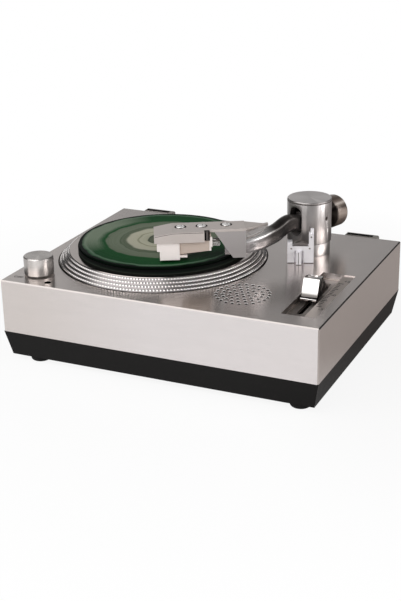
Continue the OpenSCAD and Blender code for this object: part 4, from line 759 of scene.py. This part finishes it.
def makeDots(row):
    share = (row + 0.5) / dotShape["rows"]
    reach = (dotShape["outer"] + (dotShape["inner"] - dotShape["outer"]) * share) * mm
    rise = (dotShape["outerZ"] + (dotShape["innerZ"] - dotShape["outerZ"]) * share) * mm
    lean = math.atan2(dotShape["outer"] - dotShape["inner"], dotShape["innerZ"] - dotShape["outerZ"])
    turn = 2 * math.pi / dotShape["count"]
    clearSelection()
    bpy.ops.mesh.primitive_uv_sphere_add(
        segments=dotShape["segments"], ring_count=dotShape["rings"], radius=dotShape["across"] * mm)
    piece = bpy.context.object
    startEdit()
    bpy.ops.transform.resize(value=(1, 1, dotShape["lift"] / dotShape["across"]))
    cutBelow(-dotShape["sink"] * mm)
    endEdit()
    axis = Vector((platterMid.x, platterMid.y, 0))
    toAxis = Matrix.Translation(axis)
    start = Matrix.Rotation(turn / 2 * (row % 2), 4, "Z")  # every second row half a step on
    out = Matrix.Translation((reach, 0, deckMid.z + rise))
    piece.matrix_world = toAxis @ start @ out @ Matrix.Rotation(math.pi / 2 - lean, 4, "Y")
    applyPlace()
    bpy.ops.object.empty_add()
    guide = bpy.context.object
    guide.matrix_world = toAxis @ Matrix.Rotation(turn, 4, "Z") @ Matrix.Translation(-axis)
    bpy.context.view_layer.update()
    selectOnly(piece)
    copies = piece.modifiers.new("round", "ARRAY")
    copies.count = dotShape["count"]
    copies.use_relative_offset = False
    copies.use_object_offset = True
    copies.offset_object = guide
    bpy.ops.object.modifier_apply(modifier="round")
    bpy.data.objects.remove(guide)
    finishPiece(piece, "rim_dots_" + str(row + 1), paints["dot"], "platter")


for row in range(dotShape["rows"]):
    makeDots(row)
print("rim dots made")

# Printed scale beside the fader, and the word beside the knob

markShape = {
    "left": 64.0, "short": 1.5, "long": 2.3, "thick": 0.46, "lift": 0.03, "edge": 0.008, "shift": 1.9,
    "pitch": 1.75, "count": 17, "longEvery": 4, "longCount": 5, "drop": 0.4,
}


def makeMarks(name, length, pitch, count):
    clearSelection()
    bpy.ops.mesh.primitive_cube_add(size=1)
    piece = bpy.context.object
    startEdit()
    bpy.ops.transform.resize(value=(length * mm, markShape["thick"] * mm, markShape["lift"] * mm))
    bpy.ops.mesh.bevel(offset=markShape["edge"] * mm, segments=1)
    endEdit()
    firstY = panelMid.y + (markShape["shift"] - pitch * (count - 1) / 2) * mm
    surface = deckMid.z - (markShape["drop"] - markShape["lift"] / 2) * mm
    piece.location = ((markShape["left"] + length / 2) * mm, firstY, surface)
    applyPlace()
    copies = piece.modifiers.new("row", "ARRAY")
    copies.count = count
    copies.use_relative_offset = False
    copies.use_constant_offset = True
    copies.constant_offset_displace = (0, pitch * mm, 0)
    bpy.ops.object.modifier_apply(modifier="row")
    finishPiece(piece, name, paints["ink"], "root")


makeMarks("scale_ticks_short", markShape["short"], markShape["pitch"], markShape["count"])
longPitch = markShape["pitch"] * markShape["longEvery"]
makeMarks("scale_ticks_long", markShape["long"], longPitch, markShape["longCount"])

textShape = {"thick": 0.012, "lift": 0.015}
numberShape = {"x": 66.9, "size": 2.7, "rows": [(-36.4, "-5"), (-19.7, "0"), (-2.5, "+5")]}
wordShape = {"x": -68.0, "y": -52.4, "size": 2.6, "word": "OFF"}


def makeText(name, words, size, place):
    clearSelection()
    bpy.ops.object.text_add()
    piece = bpy.context.object
    piece.data.body = words
    piece.data.size = size * mm
    piece.data.align_x = "CENTER"
    piece.data.align_y = "CENTER"
    piece.data.extrude = textShape["thick"] * mm
    bpy.ops.object.convert(target="MESH")
    piece = bpy.context.object
    piece.location = place
    applyPlace()
    finishPiece(piece, name, paints["ink"], "root")


numberZ = deckMid.z - (markShape["drop"] - textShape["lift"]) * mm
for index, (y, words) in enumerate(numberShape["rows"]):
    spot = Vector((numberShape["x"] * mm, deckMid.y + y * mm, numberZ))
    makeText("scale_number_" + str(index + 1), words, numberShape["size"], spot)
wordSpot = Vector((wordShape["x"] * mm, wordShape["y"] * mm, deckMid.z + textShape["lift"] * mm))
makeText("power_word", wordShape["word"], wordShape["size"], wordSpot)
print("scale made")

# Light rings round the sound holes as painted highlights, each a ring that dips into the deck at its front

lipShape = {
    "rings": 4, "step": 6, "pitch": 2.825, "reach": 0.78, "thick": 0.09, "segments": 16, "sides": 6,
    "lean": 8.0, "back": 115.0, "sink": 0.05,
}


def makeLips():
    clearSelection()
    back = Matrix.Rotation(math.radians(lipShape["back"]), 4, "Z")
    lean = back @ Matrix.Rotation(math.radians(-lipShape["lean"]), 4, "Y")
    bpy.ops.mesh.primitive_torus_add(
        major_radius=lipShape["reach"] * mm, minor_radius=lipShape["thick"] * mm,
        major_segments=lipShape["segments"], minor_segments=lipShape["sides"], rotation=lean.to_euler())
    lip = bpy.context.object
    applyPlace()
    copies = []
    centre = grillePits["centre"] - Vector((0, 0, lipShape["sink"] * mm))
    for ring in range(1, lipShape["rings"] + 1):
        count = ring * lipShape["step"]
        for index in range(count):
            angle = 2 * math.pi * index / count
            spot = Vector((math.cos(angle), math.sin(angle), 0)) * ring * lipShape["pitch"] * mm
            copy = lip.copy()
            copy.data = lip.data.copy()
            copy.location = centre + spot
            scene.collection.objects.link(copy)
            copies.append(copy)
    lip.location = centre
    joinInto(lip, copies)
    finishPiece(lip, "grille_lips", paints["lip"], "root")


makeLips()
print("grille lips made")

# Bars, each given by its low and its high corner in mm, with all the bars of a piece in one mesh


def addBar(corners):
    low, high = Vector(corners[0]), Vector(corners[1])
    bpy.ops.mesh.primitive_cube_add(size=1, location=(low + high) / 2 * mm, scale=(high - low) * mm)


def makeBars(name, bars, place, finish, body, edge=0.02):
    piece = addInOne(bars, addBar)
    bpy.ops.mesh.bevel(offset=edge * mm, segments=1)
    endEdit()
    piece.matrix_world = place
    finishPiece(piece, name, finish, body)


deckFrame = Matrix.Translation((0, 0, deckMid.z))
stripShape = {"x": 68.5, "front": -49.0, "back": 2.2, "thick": 0.3, "low": -0.45, "high": -0.37}
makeBars("strip_line", [(
    (stripShape["x"], stripShape["front"], stripShape["low"]),
    (stripShape["x"] + stripShape["thick"], stripShape["back"], stripShape["high"]),
)], deckFrame, paints["ink"], "root")

padShape = {
    "front": 55.6, "back": 57.9, "low": 0.15, "high": 0.26, "spans": [(-60.4, -47.9), (47.0, 59.4)],
}
makeBars("hinge_pad_tops", [
    ((left, padShape["front"], padShape["low"]), (right, padShape["back"], padShape["high"]))
    for left, right in padShape["spans"]
], deckFrame, paints["gap"], "root")
print("lines made")

# Details on the headshell, in its own frame with x pointing back along the arm


def headPlace():
    heading = math.radians(armShape["heading"])
    ahead = Vector((math.cos(heading), math.sin(heading), 0))
    corner = Vector((postMid.x, postMid.y, 0)) + ahead * armShape["reach"] * mm
    turned = heading - math.radians(armShape["turn"]) + math.pi
    return Matrix.Translation(corner) @ Matrix.Rotation(turned, 4, "Z")


headFrame = headPlace()
shellShape = {"tip": -42.5, "knee": -34.6, "end": -21.0, "front": -7.15, "tipTop": 58.5, "top": 59.9}
seamShape = {"drop": 0.28, "tall": 0.2, "out": 0.03, "tipGap": 0.15, "endGap": 0.1}
seamLow = -seamShape["drop"] - seamShape["tall"]
seamFront = shellShape["front"] - seamShape["out"]
seamBack = shellShape["front"] + seamShape["out"]
makeBars("shell_seam_back", [(
    (shellShape["knee"], seamFront, shellShape["top"] + seamLow),
    (shellShape["end"] - seamShape["endGap"], seamBack, shellShape["top"] - seamShape["drop"]),
)], headFrame, paints["line"], "arm")
slopeRun = shellShape["knee"] - shellShape["tip"]
slopeRise = shellShape["top"] - shellShape["tipTop"]
slopeTurn = Matrix.Rotation(-math.atan2(slopeRise, slopeRun), 4, "Y")
slopeStart = Vector((shellShape["tip"], 0, shellShape["tipTop"])) * mm
makeBars("shell_seam_front", [(
    (seamShape["tipGap"], seamFront, seamLow),
    (math.hypot(slopeRun, slopeRise), seamBack, -seamShape["drop"]),
)], headFrame @ Matrix.Translation(slopeStart) @ slopeTurn, paints["line"], "arm")

shellBars = [
    # Painted shade: a near-black block where the gap shows the shaded inside of the shell
    ("shell_gap_shade", "gap", "black_plastic", 0.1, [((-21.0, -6.0, 55.6), (-18.7, -4.2, 59.7))]),
    ("shell_post", "post", "steel", 0.1, [
        ((-20.3, -6.4, 55.9), (-19.3, -5.9, 59.3)),
        ((-20.4, -6.5, 59.3), (-19.2, -5.8, 59.8)),
    ]),
    ("terminal_block", "white", "white_plastic", 0.1, [
        ((-18.6, -5.8, 52.6), (-17.6, -4.4, 57.0)),
        ((-18.9, -5.7, 50.9), (-18.1, -5.5, 56.2)),
    ]),
    ("terminal_pins", "steel", "steel", 0.08, [
        ((-17.6, -5.4, 55.6), (-15.9, -5.0, 56.0)),
        ((-17.6, -5.4, 54.3), (-15.2, -5.0, 54.7)),
        ((-17.6, -5.4, 53.0), (-14.4, -5.0, 53.4)),
    ]),
]
for name, paint, slot, edge, bars in shellBars:
    makeBars(name, bars, headFrame, paints[paint], "arm", edge)

screwShape = {
    "places": [(-31.0, 1.0), (-21.8, 1.4), (-11.1, 2.2)], "top": 60.0,
    "ring": 2.55, "ringThick": 0.08, "ringEdge": 0.02, "ringSides": 32,
    "dome": 1.95, "flat": 0.3, "domeSegments": 24, "domeRings": 12,
    "notchFrom": (0.2, -0.9, 0.3), "notchTo": (0.55, 0.9, 0.6), "notchEdge": 0.05,
}
screwTops = [Vector((x, y, screwShape["top"])) for x, y in screwShape["places"]]


def addRing(spot):
    bpy.ops.mesh.primitive_cylinder_add(
        vertices=screwShape["ringSides"], radius=screwShape["ring"] * mm,
        depth=screwShape["ringThick"] * mm, location=spot * mm)


def addDome(spot):
    bpy.ops.mesh.primitive_uv_sphere_add(
        segments=screwShape["domeSegments"], ring_count=screwShape["domeRings"],
        radius=screwShape["dome"] * mm, location=spot * mm, scale=(1, 1, screwShape["flat"]))


# Painted shade: dark rings in the gap round each screw head
def makeRings():
    piece = addInOne(screwTops, addRing)
    bpy.ops.mesh.bevel(offset=screwShape["ringEdge"] * mm, segments=1)
    endEdit()
    piece.matrix_world = headFrame
    finishPiece(piece, "screw_gap_shades", paints["gap"], "arm")


def makeDomes():
    piece = addInOne(screwTops, addDome)
    cutBelow(screwShape["top"] * mm)
    endEdit()
    piece.matrix_world = headFrame
    finishPiece(piece, "screw_domes", paints["dome"], "arm")


makeRings()
makeDomes()
# Painted shade: grey bars in the slots of the screw heads
makeBars("screw_notches", [
    (spot + Vector(screwShape["notchFrom"]), spot + Vector(screwShape["notchTo"])) for spot in screwTops
], headFrame, paints["post"], "arm", screwShape["notchEdge"])
print("headshell details made")

# Details on the arm rest, in its own frame with z from the deck

restShape = {
    "turn": 20.0, "half": 5.85, "depth": 3.4, "bar": 8.0, "bump": 1.5, "reach": 3.25, "inset": 0.8,
    "saddleLift": 0.04, "saddleOut": 0.06, "saddleSides": 96,
}


def restPlace():
    low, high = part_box("arm_rest")
    turn = math.radians(restShape["turn"])
    back = restShape["half"] * math.sin(turn) + restShape["depth"] / 2 * math.cos(turn)
    spot = Vector(((low.x + high.x) / 2, high.y - back * mm, deckMid.z))
    return Matrix.Translation(spot) @ Matrix.Rotation(turn, 4, "Z")


restFrame = restPlace()


# Painted shade: a darker silver shell over the rest's rounded bump
def makeSaddle():
    arc = (restShape["reach"] ** 2 + restShape["bump"] ** 2) / (2 * restShape["bump"])
    deep = restShape["depth"] - restShape["inset"]
    spot = Vector((0, restShape["inset"] / 2, restShape["bar"] + restShape["bump"] - arc)) * mm
    clearSelection()
    bpy.ops.mesh.primitive_cylinder_add(
        vertices=restShape["saddleSides"], radius=(arc + restShape["saddleLift"]) * mm,
        depth=(deep + restShape["saddleOut"]) * mm, location=spot, rotation=(math.pi / 2, 0, 0))
    piece = bpy.context.object
    applyPlace()
    startEdit()
    cutBelow(restShape["bar"] * mm)
    endEdit()
    piece.matrix_world = restFrame
    finishPiece(piece, "rest_saddle", paints["saddle"], "root")


makeSaddle()
restFace = restFrame @ Matrix.Translation((0, -restShape["depth"] / 2 * mm, 0))
restBars = [  # y counts from the rest's front face
    ("rest_lines", "line", "dark_nickel", 0.02, [
        ((-3.6, 0.12, 7.9), (3.6, 0.75, 8.06)),
        ((-5.85, -0.04, 0.0), (-2.8, 0.1, 0.3)),
        ((1.4, -0.04, 0.0), (5.85, 0.1, 0.3)),
        ((-1.85, -2.63, 0.0), (0.45, -2.5, 0.25)),
        ((-1.0, -2.63, 0.25), (-0.75, -2.5, 5.8)),
    ]),
    ("rest_pits", "saddle", "arm_silver", 0.05, [
        ((-4.5, -0.03, 6.5), (-3.7, 0.1, 7.2)),
        ((3.6, -0.03, 6.6), (4.4, 0.1, 7.3)),
        ((4.4, -0.03, 11.9), (5.1, 0.1, 12.6)),
    ]),
]
for name, paint, slot, edge, bars in restBars:
    makeBars(name, bars, restFace, paints[paint], "root", edge)
print("arm rest details made")

seamRings = {
    "thick": 0.14, "segments": 96, "sides": 8,
    "rows": [("turret_seam_top", 62.9, 10.0), ("turret_seam_low", 44.35, 9.9)],
}
for name, height, reach in seamRings["rows"]:
    clearSelection()
    bpy.ops.mesh.primitive_torus_add(
        location=(postMid.x, postMid.y, height * mm), major_radius=reach * mm,
        minor_radius=seamRings["thick"] * mm, major_segments=seamRings["segments"],
        minor_segments=seamRings["sides"])
    finishPiece(bpy.context.object, name, paints["line"], "turret")
print("turret seams made")

# The fader cap, with a hollow curve at the foot of its front; y counts from the cap's middle

capShape = {
    "x": 58.2, "y": -21.5, "wide": 7.1, "backWide": 6.3, "low": 36.9, "top": 45.3, "bevel": 0.5,
    "curve": 2.4, "from": 15.0, "to": 68.0, "steps": 8,
    "toe": -7.8, "toeTall": 0.7, "curveY": -7.55, "curveZ": 0.92,
    "brow": -3.9, "crownFront": -3.4, "crownBack": 1.0, "nape": 1.25,
    "spineFront": 0.5, "spineBack": 1.5, "heel": 8.3, "edge": 0.12, "edgeAngle": 30, "smooth": 25,
    "collapse": 0.0001, "weld": 0.001,
}


def capFront():
    low, top = capShape["low"], capShape["top"]
    shoulder = top - capShape["bevel"]
    y, z = capShape["curveY"], low + capShape["curveZ"]
    points = [(0.0, low), (capShape["toe"], low), (capShape["toe"], low + capShape["toeTall"]), (y, z)]
    begin = math.radians(capShape["from"])
    for step in range(1, capShape["steps"] + 1):
        angle = begin + (math.radians(capShape["to"]) - begin) * step / capShape["steps"]
        points.append((
            y + capShape["curve"] * (math.sin(angle) - math.sin(begin)),
            z + capShape["curve"] * (math.cos(begin) - math.cos(angle)),
        ))
    return points + [
        (capShape["brow"], shoulder), (capShape["crownFront"], top), (capShape["crownBack"], top),
        (capShape["nape"], shoulder), (0.0, deckMid.z / mm),
    ]


def capBack():
    low, bevel = capShape["low"], capShape["bevel"]
    shoulder = capShape["top"] - bevel
    return [
        (-bevel, low), (-bevel, deckMid.z / mm), (capShape["spineFront"], shoulder),
        (capShape["spineBack"], shoulder), (capShape["heel"], low + bevel), (capShape["heel"], low),
    ]


def makeRibbon(points, wide):
    clearSelection()
    first = Vector((capShape["x"], capShape["y"] + points[0][0], points[0][1])) * mm
    bpy.ops.mesh.primitive_plane_add(size=1, location=first)
    piece = bpy.context.object
    startEdit()
    bpy.ops.transform.resize(value=(wide * mm, 0, 0), center_override=first)
    bpy.ops.mesh.remove_doubles(threshold=capShape["collapse"] * mm)
    selectAll()
    for before, after in zip(points, points[1:] + points[:1]):
        move = Vector((0, after[0] - before[0], after[1] - before[1])) * mm
        bpy.ops.mesh.extrude_region_move(TRANSFORM_OT_translate={"value": move})
    selectAll()
    bpy.ops.mesh.remove_doubles(threshold=capShape["weld"] * mm)
    bpy.ops.mesh.fill_holes(sides=0)
    pointOutwards()
    endEdit()
    applyPlace()
    return piece


def makeCap():
    front = makeRibbon(capFront(), capShape["wide"])
    back = makeRibbon(capBack(), capShape["backWide"])
    joinInto(front, [back])
    addSoftEdges(front, capShape["edge"], capShape["edgeAngle"])
    bpy.ops.object.modifier_apply(modifier="soft_edges")
    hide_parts("pitch_cap")
    finishPiece(front, "curved_cap", capChrome, "pitch", capShape["smooth"])


makeCap()
print("fader cap made")

# Floor, light and camera

floorLook = {
    "size": 8, "slant": (0.75, 0.65, 0), "gradeRun": (-0.01, 0.07),
    "pale": grey(0.9), "dark": (0.4, 0.37, 0.355, 1),
    "mirrored": 0.6, "white": 0.9, "whiteRun": (0.1, 0.22),
}


def makeFloor():
    bpy.ops.mesh.primitive_plane_add(size=floorLook["size"], location=(0, 0, 0))
    floor = bpy.context.object
    floor.name = "floor"
    finish = bpy.data.materials.new("floor_look")
    finish.use_nodes = True
    tree = finish.node_tree
    tree.nodes.clear()
    # Painted shadow: the floor darker to the right and back, seen by reflections and diffuse light, while
    # the camera sees it nearly white
    slant = partsOut(tree, objectPoint(tree, stretch=floorLook["slant"]))
    grade = shareOut(tree, mathOut(tree, "ADD", slant["X"], slant["Y"]), *floorLook["gradeRun"])
    tones = rampOut(tree, grade, [(0.0, floorLook["pale"]), (1.0, floorLook["dark"])])
    matte = addNode(tree, "BsdfDiffuse", {"Color": tones})
    path = addNode(tree, "LightPath", {}).outputs
    seen = path["Is Camera Ray"]
    glow = addNode(tree, "Emission", {"Color": mixOut(tree, seen, tones, pureWhite)})
    mirrored = mathOut(tree, "MULTIPLY", path["Is Glossy Ray"], floorLook["mirrored"])
    away = vectorOut(tree, "LENGTH", objectPoint(tree))
    white = rangeOut(tree, away, floorLook["white"], 1.0, *floorLook["whiteRun"])
    share = mathOut(tree, "MAXIMUM", mirrored, mathOut(tree, "MULTIPLY", seen, white))
    both = addNode(tree, "MixShader", {0: share, 1: matte.outputs[0], 2: glow.outputs[0]})
    addNode(tree, "OutputMaterial", {"Surface": both.outputs[0]})
    floor.data.materials.append(finish)


studioLook = {
    "gain": 1.86, "heightRun": (-0.1, 1.0),
    "heights": [(0.0, 0.9), (0.09, 0.8), (0.2, 0.6), (0.36, 0.42), (0.46, 0.3), (0.56, 0.15), (1.0, 0.13)],
    "bearings": [
        (-180, 0.1), (-165, 0.1), (-152, 0.18), (-95, 0.2), (-70, 0.3), (-48, 0.42), (-22, 0.95), (-8, 1.0),
        (22, 0.85), (44, 0.22), (58, 0.1), (84, 0.1), (100, 0.46), (106, 0.54), (110, 0.68), (113, 0.58),
        (116, 0.5), (118, 0.5), (120, 0.6), (122, 0.74), (124, 0.83), (127, 0.83), (134, 0.3), (141, 0.1),
    ],
}


def makeWorld():
    world = bpy.data.worlds.new("studio")
    scene.world = world
    world.use_nodes = True
    tree = world.node_tree
    sky = partsOut(tree, sourceOut(tree, "TexCoord", "Generated"))
    height = shareOut(tree, sky["Z"], *studioLook["heightRun"])
    studio = rampOut(tree, height, [(place, grey(level)) for place, level in studioLook["heights"]])
    studio = tintOut(tree, studio, aroundOut(tree, sky, studioLook["bearings"]))
    studio = tintOut(tree, studio, grey(studioLook["gain"])[:3])
    seen = sourceOut(tree, "LightPath", "Is Camera Ray")
    feed(tree, tree.nodes["Background"].inputs["Color"], mixOut(tree, seen, studio, pureWhite))


lampShapes = {
    "front_softbox": {"place": (-0.37, -0.7, 0.75), "wide": 1.4, "tall": 1.5, "watts": 13.8},
    "right_strip": {"place": (0.76, 0.03, 0.34), "wide": 0.55, "tall": 0.3, "watts": 2.2},
}


def addLamp(name, shape):
    lamp = bpy.data.lights.new(name, "AREA")
    lamp.shape = "RECTANGLE"
    lamp.size = shape["wide"]
    lamp.size_y = shape["tall"]
    lamp.energy = shape["watts"]
    holder = bpy.data.objects.new(name, lamp)
    scene.collection.objects.link(holder)
    holder.location = shape["place"]
    holder.rotation_euler = (deckMid - Vector(shape["place"])).to_track_quat("-Z", "Y").to_euler()


cameraShape = {
    "place": (213.45, -462.34, 181.14), "aim": (-3.87, 0.0, -20.29), "roll": -1.2303,
    "focal": 1195.30, "tall": 601, "film": 36, "near": 0.01, "far": 50,
}


def addCamera():
    place = deckMid + Vector(cameraShape["place"]) * mm
    aim = deckMid + Vector(cameraShape["aim"]) * mm
    eye = bpy.data.cameras.new("camera")
    eye.sensor_width = cameraShape["film"]
    eye.lens = cameraShape["focal"] / cameraShape["tall"] * cameraShape["film"]
    eye.clip_start = cameraShape["near"]
    eye.clip_end = cameraShape["far"]
    camera = bpy.data.objects.new("camera", eye)
    scene.collection.objects.link(camera)
    facing = (aim - place).to_track_quat("-Z", "Y").to_matrix().to_4x4()
    roll = Matrix.Rotation(math.radians(cameraShape["roll"]), 4, "Z")
    camera.matrix_world = Matrix.Translation(place) @ facing @ roll
    scene.camera = camera


makeFloor()
makeWorld()
for name, shape in lampShapes.items():
    addLamp(name, shape)
addCamera()
print("floor, light and camera set")
